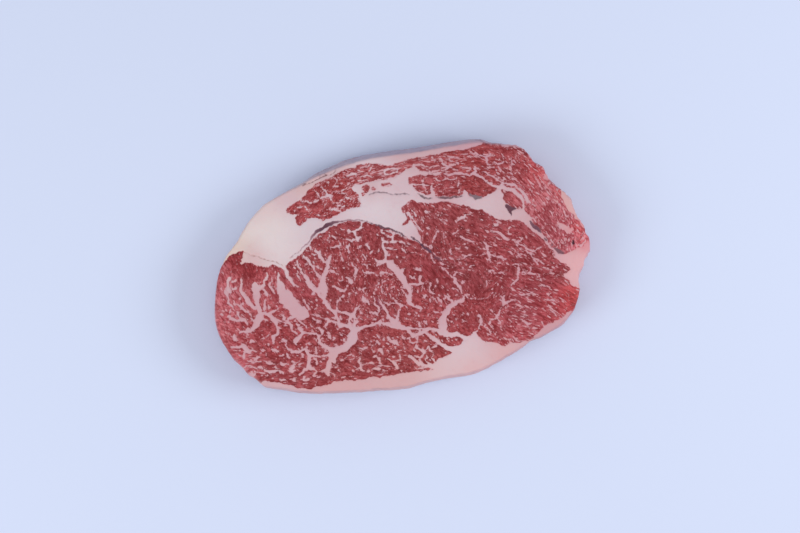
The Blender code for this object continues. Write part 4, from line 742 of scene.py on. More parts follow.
# Dark sinew: the membrane round the eye, the thin lines along the cap, and gristle in the seams.
SINEWS: dict[str, tuple[Stroke, ...]] = {
    "membrane": (
        ((-56, 4, 0.3), (-52, 7, 0.4), (-49.5, 9.4, 0.5), (-47.5, 11.4, 0.6), (-46.2, 13, 0.9),
         (-45, 14.6, 1.1), (-43.4, 16.4, 1.3), (-41.4, 18, 1.5), (-39, 19.6, 2), (-37, 20.6, 2.3),
         (-35, 21.6, 1.8), (-33, 22.2, 1.3), (-30, 22.7, 0.9), (-25, 23.1, 0.7), (-20, 23, 0.6),
         (-16, 22, 0.6), (-13, 20.6, 0.7), (-11, 20, 0.8), (-9, 19, 1.1), (-6, 18.7, 1.1), (-3.4, 18, 1),
         (-1, 17.2, 0.9), (0.4, 16.6, 0.9), (1.8, 15.5, 0.8), (2.6, 14.9, 0.3)),
        ((4.4, 15.4, 0.5), (5.4, 14.7, 1), (6.6, 13.8, 1), (7.6, 12.8, 0.8), (8.6, 11.8, 0.8),
         (10, 10.7, 0.9),
         (11.5, 9.7, 1.1), (12.6, 8.5, 1.1), (14, 7.4, 0.9), (15.2, 6.5, 0.6), (16.6, 5.1, 0.7),
         (17.8, 4.2, 0.7), (19, 3.4, 0.5), (20.4, 2.5, 0.4), (22.5, 1.8, 0.3)),
    ),
    "cap line": (
        ((-16, 35.5, 0.4), (-12, 36.8, 0.7), (-8, 37.2, 0.8), (-4, 36.5, 0.6), (0, 36.3, 0.8),
         (4, 36, 0.4)),
        ((7.5, 36.5, 0.5), (10, 35.3, 0.9), (11.5, 34.2, 1), (14, 33.8, 0.9), (15.5, 34.3, 0.5)),
        ((17, 35, 0.4), (20, 34.5, 0.9), (23, 34.2, 1), (27, 34.8, 0.9), (30.5, 35, 0.4)),
    ),
    "gristle": (
        ((34.6, 36, 1), (36.5, 34.8, 1.6), (38.5, 34.4, 1.8), (40.4, 35.4, 1.1)),
        ((52.2, 30.8, 1), (53.6, 29, 2.2), (54.6, 27, 1.8), (54.9, 25.8, 0.8)),
        ((53.6, 29.6, 1.4), (55.4, 28.8, 1.6), (57, 29, 0.8)),
        ((64.3, 22.8, 0.8), (66, 20.8, 1.9), (67.6, 19.2, 2), (69.6, 17, 0.8)),
        ((71.6, 13.8, 1), (72.3, 13.1, 0.9)),
        ((74.8, 11.2, 0.7), (75.5, 10.4, 0.6)),
        ((76.4, 9.4, 0.8), (78.8, 7.7, 2.1), (81, 6.7, 1)),
        ((85.9, 13.2, 0.8), (86.3, 12, 1.5), (86.8, 10.4, 0.9)),
    ),
    "rim line": (
        ((-49.5, 41.2, 0.3), (-45.6, 42.3, 0.5), (-42.4, 43.8, 0.7), (-39.5, 45.1, 0.6), (-37, 45.9, 0.5),
         (-34.6, 46.8, 0.5), (-31.6, 48.4, 0.3)),
    ),
    "thin lines": (
        ((-79.4, 6.8, 0.3), (-76, 5.2, 0.5), (-72, 4.8, 0.5), (-68, 3.2, 0.5), (-64, 2.5, 0.5),
         (-60, 1.2, 0.5), (-58.5, 0, 0.4)),
        ((-12.6, -15.2, 0.4), (-11.9, -17.4, 0.6), (-10.7, -19.8, 0.6), (-9.8, -21.4, 0.4)),
    ),
}


# Dents in the wall: (x, y, reach, depth).
DENTS = (
    (-91, 2, 6, 1.2), (-87, 12, 5, 1.2), (-93, -14, 9, 0.7), (-87, -40, 6, 0.7), (87, 29, 4, 1.5),
    (90, 24, 4, 1.5), (92.6, 16.6, 3, 0.8), (65, 57, 4, 1.2), (92, 4, 4, 0.5), (89, -7, 5, 0.8),
    (88, -18, 5, 0.7), (84.5, -26, 4, 0.7),
)

# The torn end, where the meat's edge is ragged and bare.
TORN_END: Stroke = (
    (60, 61, 5), (67, 53, 8), (74, 44, 9), (82, 36, 9), (90, 24, 10), (93, 11, 11), (90, 1, 10),
    (91, -9, 6),
)


@dataclass(frozen=True)
class Dab:
    """A soft dab of colour on the map, strongest at (x, y) and fading over reach, in millimetres."""

    x: float
    y: float
    reach: float
    colour: tuple[int, int, int]


LEAN_DABS = (
    Dab(-78, -2, 6, (146, 58, 63)), Dab(-87, -14, 8, (175, 93, 101)), Dab(-72, -14, 9, (165, 81, 87)),
    Dab(-90, -30, 7, (179, 93, 101)), Dab(-75, -37, 10, (156, 71, 77)), Dab(-60, -38, 9, (150, 66, 71)),
    Dab(-62, -52, 9, (151, 69, 74)), Dab(-82, -48, 6, (182, 95, 104)), Dab(-52, -10, 8, (154, 70, 77)),
    Dab(-30, 8, 14, (148, 67, 72)), Dab(-18, 13, 8, (140, 62, 67)), Dab(-15, -12, 14, (145, 65, 70)),
    Dab(-32, -35, 9, (145, 64, 69)), Dab(-25, -48, 12, (147, 66, 70)), Dab(5, -42, 12, (149, 67, 70)),
    Dab(3, 7, 8, (147, 67, 72)), Dab(15, -4, 9, (137, 56, 62)), Dab(9, -20, 9, (152, 68, 73)),
    Dab(5, 28, 6, (159, 79, 85)), Dab(25, 18, 14, (144, 66, 71)), Dab(35, -7, 9, (143, 66, 72)),
    Dab(35, -24, 9, (149, 66, 71)), Dab(55, 5, 14, (147, 65, 71)), Dab(75, -4, 8, (148, 66, 73)),
    Dab(86, -14, 6, (173, 65, 69)), Dab(60, -20, 9, (154, 73, 81)), Dab(76, -20, 7, (157, 65, 71)),
    Dab(60, -34, 9, (163, 78, 85)), Dab(-50, 30, 8, (159, 73, 77)), Dab(-36, 40, 7, (149, 65, 67)),
    Dab(-30, 32, 7, (157, 70, 73)), Dab(0, 49, 14, (159, 81, 85)), Dab(14, 41, 8, (154, 72, 78)),
    Dab(38, 40, 6, (144, 63, 66)), Dab(35, 54, 10, (152, 68, 71)), Dab(52, 50, 9, (153, 70, 75)),
    Dab(69, 47, 5, (177, 77, 82)), Dab(68, 36, 8, (173, 91, 98)), Dab(72, 23, 8, (156, 77, 85)),
    Dab(84, 20, 8, (173, 90, 100)), Dab(79, 33, 6, (180, 99, 107)),
    Dab(92, 13, 4, (200, 102, 110)), Dab(88.5, 20, 3, (190, 72, 74)), Dab(80, 37.5, 3, (176, 66, 68)),
)

FAT_DABS = (
    Dab(-72, 16, 16, (226, 213, 211)), Dab(-84, 10, 7, (222, 198, 184)), Dab(-60, 10, 12, (223, 211, 215)),
    Dab(-72, 28, 8, (218, 190, 192)), Dab(-58, 33, 7, (211, 180, 187)), Dab(-45, 20, 10, (214, 200, 207)),
    Dab(-50, 41, 6, (214, 182, 182)), Dab(-12, 27, 17, (221, 212, 218)), Dab(-3, 38, 8, (205, 172, 180)),
    Dab(-15, 39, 6, (196, 150, 156)), Dab(-33, 47, 6, (206, 176, 180)), Dab(10, 57, 12, (204, 168, 174)),
    Dab(42, 31, 12, (213, 194, 199)), Dab(55, 26, 8, (209, 176, 180)), Dab(66, 20, 8, (200, 158, 164)),
    Dab(32, -43, 12, (216, 194, 200)), Dab(20, -53, 9, (215, 182, 184)), Dab(50, -43, 8, (213, 168, 170)),
    Dab(36, -53, 8, (217, 170, 171)), Dab(-2, -57, 14, (210, 168, 169)), Dab(-32, -61, 14, (209, 163, 165)),
    Dab(-60, -61, 10, (207, 170, 176)), Dab(-74, 4, 7, (205, 157, 161)), Dab(87, 0, 7, (220, 168, 172)),
    Dab(91, 12, 4, (214, 140, 148)), Dab(89, 20, 5, (212, 142, 148)), Dab(85, 9, 3, (212, 160, 164)),
    Dab(85, 30, 7, (214, 166, 166)), Dab(70, 45, 6, (208, 140, 146)),
    Dab(-20, -10, 40, (204, 163, 171)), Dab(-70, -30, 20, (203, 160, 168)), Dab(45, -5, 30, (203, 158, 167)),
    Dab(45, 50, 20, (200, 156, 167)), Dab(-24, -36, 6, (205, 172, 180)), Dab(75, -30, 8, (200, 150, 157)),
)

SINEW_DABS = (
    Dab(-38, 20, 7, (92, 54, 70)), Dab(-50, 10, 8, (172, 134, 144)), Dab(-25, 23, 8, (162, 124, 134)),
    Dab(-12, 20.5, 7, (118, 86, 98)), Dab(-6, 19, 6, (108, 68, 76)), Dab(2, 16, 5, (112, 82, 92)),
    Dab(11, 10, 7, (96, 62, 78)), Dab(20, 3, 5, (124, 72, 84)), Dab(-6, 37, 9, (140, 118, 126)),
    Dab(12, 34, 6, (122, 98, 104)), Dab(25, 34, 7, (122, 90, 98)), Dab(38, 34, 5, (134, 112, 120)),
    Dab(54, 28, 5, (106, 68, 80)), Dab(67, 20, 5, (120, 78, 92)), Dab(79, 8, 5, (132, 90, 100)),
    Dab(86.4, 12, 5, (66, 30, 42)), Dab(-68, 3, 8, (186, 146, 144)), Dab(-11, -18, 5, (136, 70, 90)),
    Dab(73, 12, 3, (126, 92, 102)), Dab(-42, 44, 7, (134, 96, 98)),
)

SKIN_DABS = (
    Dab(-93, -15, 20, (206, 164, 176)), Dab(-88, -42, 12, (194, 146, 160)), Dab(-76, -55, 8, (204, 158, 166)),
    Dab(-50, -64, 20, (206, 164, 168)), Dab(-10, -63, 20, (208, 166, 168)), Dab(30, -56, 16, (214, 168, 170)),
    Dab(60, -41, 8, (206, 158, 162)), Dab(78, -31, 10, (198, 150, 158)), Dab(89, -14, 8, (188, 96, 102)),
    Dab(92, 5, 6, (214, 138, 144)), Dab(91, 13, 6, (200, 104, 114)), Dab(89, 22, 7, (204, 124, 130)),
    Dab(84, 34, 8, (212, 162, 166)),
    Dab(72, 46, 8, (198, 118, 124)), Dab(62, 58, 8, (204, 150, 156)), Dab(35, 64, 14, (170, 152, 168)),
    Dab(0, 59, 20, (166, 152, 172)), Dab(-35, 50, 16, (172, 156, 172)), Dab(-55, 39, 10, (204, 182, 188)),
    Dab(-75, 24, 14, (220, 200, 200)), Dab(-88, 6, 8, (214, 184, 186)),
)


@dataclass(frozen=True)
class Bundle:
    """A bundle of fibres: the meat near (x, y), in millimetres, with one grain and one marbling.

    Attributes:
        angle: direction of the grain on the cut face, in degrees from +X.
        stretch: how many times longer than wide its flecks are.
        flecks: share of fine fat, from 0 to 1.
        lobes: how far pale fat parts it into small round lobes, from 0 to 1.
    """

    x: float
    y: float
    angle: float
    stretch: float
    flecks: float
    lobes: float = 0.0


BUNDLES = (
    # Near-cap lobe of the eye and the right end.
    Bundle(5, 28, -60, 2.5, 0.4), Bundle(20, 24, -40, 2.4, 0.36), Bundle(36, 18, -30, 2.8, 0.45),
    Bundle(50, 12, -25, 3, 0.5), Bundle(64, 8, -35, 3, 0.5), Bundle(17, 10, -70, 2.2, 0.22),
    Bundle(30, 2, -20, 3, 0.25), Bundle(14, -3, -50, 3, 0.1), Bundle(37, -8, -60, 2, 0.25),
    Bundle(55, -3, -30, 2.4, 0.4), Bundle(70, -6, -20, 3, 0.48), Bundle(80, -12, -25, 3.4, 0.5),
    Bundle(60, -20, -20, 3.6, 0.8), Bundle(75, -22, -28, 3.6, 0.58), Bundle(46, -13, 60, 2, 0.4),
    Bundle(34, -24, -50, 2, 0.3), Bundle(50, -31, -40, 2.6, 0.55), Bundle(65, -32, -15, 3.4, 0.65),
    # Left lobe of the eye.
    Bundle(-27, 9, -85, 1.7, 0.43), Bundle(-30, 17, -20, 1.8, 0.32), Bundle(-42, 4, -50, 1.8, 0.36),
    Bundle(-14, 11, -70, 1.5, 0.22), Bundle(-20, 0, -75, 1.6, 0.43), Bundle(-32, -8, -60, 1.6, 0.25),
    Bundle(-18, -10, -80, 1.8, 0.43), Bundle(-26, -19, -60, 1.6, 0.36), Bundle(-6, -12, -60, 1.6, 0.5),
    Bundle(-2, 12, -22, 4, 0.22), Bundle(0, 5, -30, 2, 0.14), Bundle(5, -5, -60, 1.6, 0.25),
    Bundle(10, -15, -60, 1.8, 0.4), Bundle(18, -12, -55, 2.4, 0.32), Bundle(-15, -24, -40, 1.6, 0.43),
    Bundle(8, -25, -20, 1.6, 0.32), Bundle(-3, -22, -45, 1.8, 0.22), Bundle(-52, -12, -45, 2.2, 0.25),
    Bundle(-43, -20, -40, 2, 0.25),
    # Shoulder.
    Bundle(-78, -3, -60, 2, 0.1), Bundle(-86, -12, -60, 3, 0.43), Bundle(-70, -12, -65, 2, 0.32),
    Bundle(-86, -28, -40, 2.6, 0.43), Bundle(-70, -25, -50, 1.8, 0.29), Bundle(-76, -38, -30, 1.7, 0.29),
    Bundle(-60, -36, -30, 1.7, 0.25), Bundle(-56, -28, -20, 2.4, 0.36), Bundle(-80, -48, 0, 3, 0.43),
    Bundle(-66, -51, -6, 3, 0.29), Bundle(-48, -48, -12, 1.8, 0.29), Bundle(-38, -35, -30, 1.5, 0.32),
    # Lower lobes.
    Bundle(-28, -49, -15, 1.7, 0.29), Bundle(-12, -40, -25, 1.6, 0.36), Bundle(0, -48, -5, 2, 0.25),
    Bundle(10, -42, -40, 2, 0.25), Bundle(-15, -54, 5, 3, 0.22), Bundle(-50, -57, -3, 3, 0.32),
    # Cap.
    Bundle(-46, 29, 30, 1.8, 0.29), Bundle(-35, 37, 40, 1.8, 0.35, 0.25), Bundle(-24, 47, 20, 2.2, 0.6),
    Bundle(-8, 48, 8, 3.2, 0.85), Bundle(10, 50, 2, 3.8, 0.8), Bundle(12, 40, -8, 2, 0.5),
    Bundle(25, 39, -5, 2, 0.35), Bundle(38, 40, -15, 2, 0.2), Bundle(28, 53, 6, 3.4, 0.75),
    Bundle(42, 54, -20, 3, 0.5), Bundle(54, 52, -35, 2.6, 0.6), Bundle(56, 34, -45, 3, 0.6),
    Bundle(62, 44, -40, 3.2, 0.7), Bundle(70, 32, -55, 3.4, 0.75), Bundle(72, 22, -50, 3.4, 0.6),
    Bundle(82, 24, -60, 2.6, 0.7), Bundle(85, 14, -80, 2, 0.7), Bundle(91.5, 14, 75, 2.4, 0.7, 0.8),
    Bundle(89, 21, -60, 2.4, 0.5, 0.6),
)


def smooth_run(points: np.ndarray, closed: bool, steps: int) -> np.ndarray:
    """Adds points between the given ones, so that the run through them bends smoothly.

    Args:
        points: one row for each drawn point; every column is smoothed alike.
        closed: whether the run returns to its first point.
        steps: points in the result for each one drawn.

    Returns:
        The finer run, as Catmull-Rom curves through the given points.
    """
    if closed:
        before, start = np.roll(points, 1, axis=0), points
        end, after = np.roll(points, -1, axis=0), np.roll(points, -2, axis=0)
    else:
        padded = np.vstack([2 * points[:1] - points[1:2], points, 2 * points[-1:] - points[-2:-1]])
        before, start, end, after = padded[:-3], padded[1:-2], padded[2:-1], padded[3:]
    pieces = []
    for step in range(steps):
        t = step / steps
        bend = (2 * before - 5 * start + 4 * end - after) * t**2
        twist = (3 * start - before - 3 * end + after) * t**3
        pieces.append(0.5 * (2 * start + (end - before) * t + bend + twist))
    run = np.stack(pieces, axis=1).reshape(-1, points.shape[1])
    return run if closed else np.vstack([run, points[-1:]])


def signed_distance(places: np.ndarray, ring: np.ndarray) -> np.ndarray:
    """Distance of each place from a closed ring, below zero inside it."""
    nearest = np.full(len(places), np.inf)
    inside = np.zeros(len(places), dtype=bool)
    x, y = places[:, 0], places[:, 1]
    for start, end in zip(ring, np.roll(ring, -1, axis=0)):
        leg = end - start
        away_x, away_y = x - start[0], y - start[1]
        share = np.clip((away_x * leg[0] + away_y * leg[1]) / max(leg @ leg, 1e-9), 0, 1)
        gap = (away_x - share * leg[0]) ** 2 + (away_y - share * leg[1]) ** 2
        np.minimum(nearest, gap, out=nearest)
        if start[1] != end[1]:
            crossed = (start[1] > y) != (end[1] > y)
            inside ^= crossed & (away_x < leg[0] * away_y / leg[1])
    return np.sqrt(nearest) * np.where(inside, -1, 1)


def depth_in_stroke(places: np.ndarray, stroke: np.ndarray, reach: float) -> np.ndarray:
    """How far each place lies inside a stroke of varying width, below zero outside it.

    Args:
        places: places on the map.
        stroke: the stroke's (x, y, width) points.
        reach: distance beyond which the result need not be right.

    Returns:
        Half the stroke's width less the distance from its middle, and -reach far away.
    """
    depth = np.full(len(places), -reach)
    low, high = stroke[:, :2].min(axis=0) - reach, stroke[:, :2].max(axis=0) + reach
    near = np.flatnonzero(((places > low) & (places < high)).all(axis=1))
    if not len(near):
        return depth
    spots = places[near]
    best = np.full(len(near), -reach)
    for start, end in zip(stroke[:-1], stroke[1:]):
        leg = (end - start)[:2]
        away = spots - start[:2]
        share = np.clip(away @ leg / max(leg @ leg, 1e-9), 0, 1)
        gap = np.hypot(*(away - share[:, None] * leg).T)
        half = (start[2] + (end[2] - start[2]) * share) / 2
        np.maximum(best, half - gap, out=best)
    depth[near] = best
    return depth


def blend_dabs(places: np.ndarray, dabs: tuple[Dab, ...]) -> np.ndarray:
    """The linear colour at each place: a mean of the dabs, by how strong each is there."""
    total = np.zeros((len(places), 3))
    weights = np.zeros(len(places))
    for dab in dabs:
        square = ((places - (dab.x, dab.y)) ** 2).sum(axis=1) / dab.reach**2
        weight = np.exp(-square) + 1e-4 / (1 + square) ** 2
        total += weight[:, None] * np.array(srgb(*dab.colour))
        weights += weight
    return np.maximum(total / weights[:, None] - MIRRORED, 0.004)


def lattice_noise(points: np.ndarray, size: float, seed: float) -> np.ndarray:
    """Smooth noise between about -1 and 1 with features of a size, the same on each run."""
    shifted = points / size + seed
    return np.array([noise.noise(Vector(point)) for point in shifted])


@dataclass
class Tissue:
    """What the map says about a list of places. Lengths are in millimetres, colours linear."""

    fat: np.ndarray  # depth in fat, below zero in lean
    sinew: np.ndarray  # depth in dark sinew, below zero outside it
    bundle: np.ndarray  # index of the bundle that each place belongs to
    flecks: np.ndarray  # share of fine marbling
    lobes: np.ndarray  # how far pale fat parts the lean into lobes
    torn: np.ndarray  # 1 along the torn end, where there is no skin
    lean_tone: np.ndarray
    fat_tone: np.ndarray
    sinew_tone: np.ndarray
    skin_tone: np.ndarray


@dataclass
class TissueMap:
    """The drawn tissue, ready to be read at any place."""

    reach: float = 3.0
    curve_steps: int = 3
    bundle_stray: float = 1.4  # how far the bundles' borders stray from straight
    bundle_stray_length: float = 5.0
    strays: tuple[tuple[float, float], ...] = ((0.75, 3.2), (0.45, 1.5))  # (how far, over what length)
    lean: list[np.ndarray] = field(init=False)
    pools: list[np.ndarray] = field(init=False)
    veins: list[np.ndarray] = field(init=False)
    sinews: list[np.ndarray] = field(init=False)

    def __post_init__(self) -> None:
        """Smooths every drawn outline and stroke once."""
        self.lean = [self._smoothed(ring, True) for ring in LEAN.values()]
        self.pools = [self._smoothed(ring, True) for ring in POOLS.values()]
        self.veins = [self._smoothed(s, False) for group in VEINS.values() for s in group]
        self.sinews = [self._smoothed(s, False) for group in SINEWS.values() for s in group]

    def _smoothed(self, points: tuple, closed: bool) -> np.ndarray:
        """One drawn outline or stroke as a fine run."""
        return smooth_run(np.array(points, dtype=float), closed, self.curve_steps)

    @staticmethod
    def _strayed(places: np.ndarray, far: float, length: float) -> np.ndarray:
        """The places moved to and fro by smooth noise, so that what is read there looks uneven."""
        flat = np.column_stack([places, np.zeros(len(places))])
        return places + far * np.column_stack([lattice_noise(flat, length, s) for s in (3.1, 57.9)])

    def _fat_depth(self, places: np.ndarray) -> np.ndarray:
        """Depth in fat at each place."""
        depth = np.min([signed_distance(places, ring) for ring in self.lean], axis=0)
        for ring in self.pools:
            np.maximum(depth, -signed_distance(places, ring), out=depth)
        for stroke in self.veins:
            np.maximum(depth, depth_in_stroke(places, stroke, self.reach), out=depth)
        return np.clip(depth, -self.reach, self.reach)

    def bundle_of(self, places: np.ndarray) -> np.ndarray:
        """The index of the bundle that each place belongs to."""
        moved = self._strayed(places, self.bundle_stray, self.bundle_stray_length)
        seeds = np.array([(bundle.x, bundle.y) for bundle in BUNDLES])
        return np.argmin(((moved[:, None, :] - seeds) ** 2).sum(axis=2), axis=1)

    @staticmethod
    def grain(places: np.ndarray, heights: np.ndarray, bundle: np.ndarray) -> np.ndarray:
        """Places measured along and across the fibres of their bundle, and up.

        Args:
            places: (x, y) of each place on the cut face.
            heights: height of each place.
            bundle: index of each place's bundle.

        Returns:
            One row for each place. Along the fibres lengths are shortened by the bundle's stretch, and
            each bundle lies apart from the others, so that no two show the same pattern.
        """
        table = np.array([(b.x, b.y, math.radians(b.angle), b.stretch) for b in BUNDLES])[bundle]
        away = places - table[:, :2]
        cos, sin = np.cos(table[:, 2]), np.sin(table[:, 2])
        along = (away[:, 0] * cos + away[:, 1] * sin) / table[:, 3]
        across = -away[:, 0] * sin + away[:, 1] * cos
        apart = bundle * 17.3
        return np.column_stack([along + apart, across + apart, heights / 4])

    def read(self, places: np.ndarray) -> Tissue:
        """Reads the map at each (x, y) place on the cut face."""
        bundle = self.bundle_of(places)
        uneven = places
        for far, length in self.strays:
            uneven = self._strayed(uneven, far, length)
        torn = depth_in_stroke(places, self._smoothed(TORN_END, False), self.reach)
        return Tissue(
            fat=self._fat_depth(uneven),
            sinew=np.max([depth_in_stroke(uneven, s, self.reach) for s in self.sinews], axis=0),
            bundle=bundle,
            flecks=np.array([b.flecks for b in BUNDLES])[bundle],
            lobes=np.array([b.lobes for b in BUNDLES])[bundle],
            torn=np.clip(torn / self.reach + 0.5, 0, 1),
            lean_tone=blend_dabs(places, LEAN_DABS),
            fat_tone=blend_dabs(places, FAT_DABS),
            sinew_tone=blend_dabs(places, SINEW_DABS),
            skin_tone=blend_dabs(places, SKIN_DABS),
        )


# ---------------------------------------------------------------------------------------------
# The steak's body
# ---------------------------------------------------------------------------------------------


@dataclass
class PackedForm:
    """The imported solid, merged and smoothed, to measure against."""

    node: bpy.types.Object
    smoothing: int = 2
    tree: BVHTree = field(init=False)

    def __post_init__(self) -> None:
        """Merges a copy of the node's loose triangles, smooths it and keeps its surface."""
        mesh = self.node.data.copy()
        bm = bmesh.new()
        bm.from_mesh(mesh)
        bmesh.ops.remove_doubles(bm, verts=bm.verts[:], dist=0.001 * MM)
        bm.to_mesh(mesh)
        bm.free()
        copy = bpy.data.objects.new("form", mesh)
        bpy.context.scene.collection.objects.link(copy)
        smooth = copy.modifiers.new("smooth", "SUBSURF")
        smooth.levels = smooth.render_levels = self.smoothing
        self.tree = BVHTree.FromObject(copy, bpy.context.evaluated_depsgraph_get())
        bpy.data.objects.remove(copy)
        bpy.data.meshes.remove(mesh)

    def hit(self, origin: Vector, direction: Vector) -> Vector | None:
        """Where a ray from inside leaves the form."""
        return self.tree.ray_cast(origin, direction)[0]


Lump = tuple[float, float, float]  # height and size in millimetres, and seed, of one size of lump


@dataclass
class SteakBody:
    """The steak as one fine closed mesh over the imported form.

    The outer band of both faces and the wall are rows of corners round the steak. The middle of
    each face is filled with an even triangular lattice.
    """

    form: PackedForm
    tissue_map: TissueMap
    corners_round: int = 840
    rows: int = 45
    band: float = 9.0 * MM  # width of the rows' part of each face
    fan_height: float = 12.5 * MM
    fan_rays: int = 97
    belt_height: float = 9.0 * MM  # height of the wall's widest line
    top_spacing: float = 0.6 * MM
    foot_spacing: float = 1.25 * MM
    spine: tuple[Place, Place] = ((-40 * MM, -9 * MM), (38 * MM, 4 * MM))
    regrow: float = 0.3 * MM  # what smoothing took off the wall
    edge_drop: float = 1.4 * MM  # the wall starts this far below the face
    skin_start: float = 1.3 * MM  # drop over which the skin sets in
    slant: tuple[float, float] = (1.6, -1.2)  # mm that the muscles drift from upper to lower face
    map_scale: float = 1.0114  # the map is drawn a little larger than the face
    drift: float = 4.5  # mm that the tissue strays to and fro down the wall
    lean_rise: float = 0.32 * MM
    crease: float = 0.26 * MM
    groove: float = 0.5 * MM
    settle: float = 0.4 * MM  # all the cut face's relief stays this much lower
    margin: float = 0.02 * MM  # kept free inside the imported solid's box
    fat_swell: tuple[Lump, ...] = ((0.22, 7.0, 4.0),)
    wall_lumps: tuple[Lump, ...] = ((0.35, 5.0, 23.0), (0.18, 1.8, 41.0))
    torn_lumps: tuple[Lump, ...] = ((0.9, 4.2, 7.0), (0.45, 2.0, 15.0))
    wall_tilt: float = 0.6  # faces whose normals rise or sink less than this are wall on the bake map
    points: np.ndarray = field(init=False)
    rows_of_points: np.ndarray = field(init=False)
    faces: list[tuple[int, ...]] = field(init=False)

    def _belt(self) -> np.ndarray:
        """The steak's widest line as evenly spaced corners in plan."""
        rays = 4 * self.corners_round
        hits = []
        for step in range(rays):
            angle = math.tau * step / rays
            direction = Vector((math.cos(angle), math.sin(angle), 0))
            hits.append(self.form.hit(Vector((0, 0, self.belt_height)), direction).xy)
        loop = np.array(hits + hits[:1])
        reached = np.concatenate([[0], np.cumsum(np.hypot(*np.diff(loop, axis=0).T))])
        wanted = np.linspace(0, reached[-1], self.corners_round, endpoint=False)
        return np.column_stack([np.interp(wanted, reached, loop[:, axis]) for axis in (0, 1)])

    def _nearest_on_spine(self, place: np.ndarray) -> np.ndarray:
        """The point of the spine line nearest to a place in plan."""
        start, end = np.array(self.spine)
        leg = end - start
        return start + leg * np.clip((place - start) @ leg / (leg @ leg), 0, 1)

    def _section(self, place: np.ndarray) -> np.ndarray:
        """One row of corners up the wall, from under the foot to on the face."""
        inward = self._nearest_on_spine(place) - place
        inward /= np.hypot(*inward)
        pivot = Vector((*(place + inward * self.band), self.fan_height))
        outward = Vector((-inward[0], -inward[1], 0))
        fan = np.linspace(-math.pi / 2, math.pi / 2, self.fan_rays)
        hits = []
        for angle in fan:
            hits.append(self.form.hit(pivot, outward * math.cos(angle) + Vector((0, 0, math.sin(angle)))))
        line = np.array(hits)
        middle_heights = (line[:-1, 2] + line[1:, 2]) / 2
        spacing = np.interp(
            middle_heights, np.array([0, 1, 21.5, 24]) * MM, np.array([1.4, 0.95, 0.95, 0.6]) * MM
        )
        legs = np.linalg.norm(np.diff(line, axis=0), axis=1) / spacing
        reached = np.concatenate([[0], np.cumsum(legs)])
        wanted = np.linspace(0, reached[-1], self.rows)
        return np.column_stack([np.interp(wanted, reached, line[:, axis]) for axis in range(3)])

    def _fill(self, ring: np.ndarray, spacing: float) -> tuple[np.ndarray, list[tuple[int, ...]]]:
        """A triangular lattice inside a ring.

        Args:
            ring: the ring's corners in plan.
            spacing: distance between the lattice's corners.

        Returns:
            The lattice's corners in plan, and triangles that count the ring's corners first.
        """
        rise = spacing * math.sqrt(3) / 2
        low, high = ring.min(axis=0), ring.max(axis=0)
        lines = []
        for number, y in enumerate(np.arange(low[1], high[1], rise)):
            x = np.arange(low[0] + (number % 2) * spacing / 2, high[0], spacing)
            lines.append(np.column_stack([x, np.full(len(x), y)]))
        lattice = np.vstack(lines)
        turn = np.arctan2(ring[:, 1], ring[:, 0])
        order = np.argsort(turn)
        limit = np.interp(
            np.arctan2(lattice[:, 1], lattice[:, 0]), turn[order], np.hypot(*ring[order].T), period=math.tau
        )
        lattice = lattice[np.hypot(*lattice.T) < limit - 0.6 * spacing]
        everything = np.vstack([ring, lattice])
        count = len(ring)
        edges = [(i, (i + 1) % count) for i in range(count)]
        corners = [Vector(point) for point in everything]
        found = geometry.delaunay_2d_cdt(corners, edges, [], 1, 1e-9)
        source = [origins[0] for origins in found[3]]
        return lattice, [tuple(source[i] for i in face) for face in found[2]]

    def _lay_out(self) -> None:
        """Makes every corner and face, on the smooth form."""
        belt = self._belt()
        sections = np.array([self._section(place) for place in belt])
        rows = sections.transpose(1, 0, 2)
        count = self.corners_round
        after = np.roll(np.arange(count), -1)
        faces = []
        for row in range(self.rows - 1):
            low, high = row * count, (row + 1) * count
            faces += [(low + i, low + j, high + j, high + i) for i, j in enumerate(after)]
        points = [rows.reshape(-1, 3)]
        total = rows.shape[0] * count
        for row, spacing, up in ((self.rows - 1, self.top_spacing, 1), (0, self.foot_spacing, -1)):
            lattice, triangles = self._fill(rows[row][:, :2], spacing)
            middle = Vector((0, 0, self.fan_height))
            filled = []
            for x, y in lattice:
                filled.append(self.form.hit(Vector((x, y, middle.z)), Vector((0, 0, up))))
            points.append(np.array(filled))
            index = np.concatenate([row * count + np.arange(count), total + np.arange(len(lattice))])
            faces += [tuple(index[i] for i in face) for face in triangles]
            total += len(lattice)
        self.points = np.vstack(points)
        self.faces = faces
        self.rows_of_points = rows

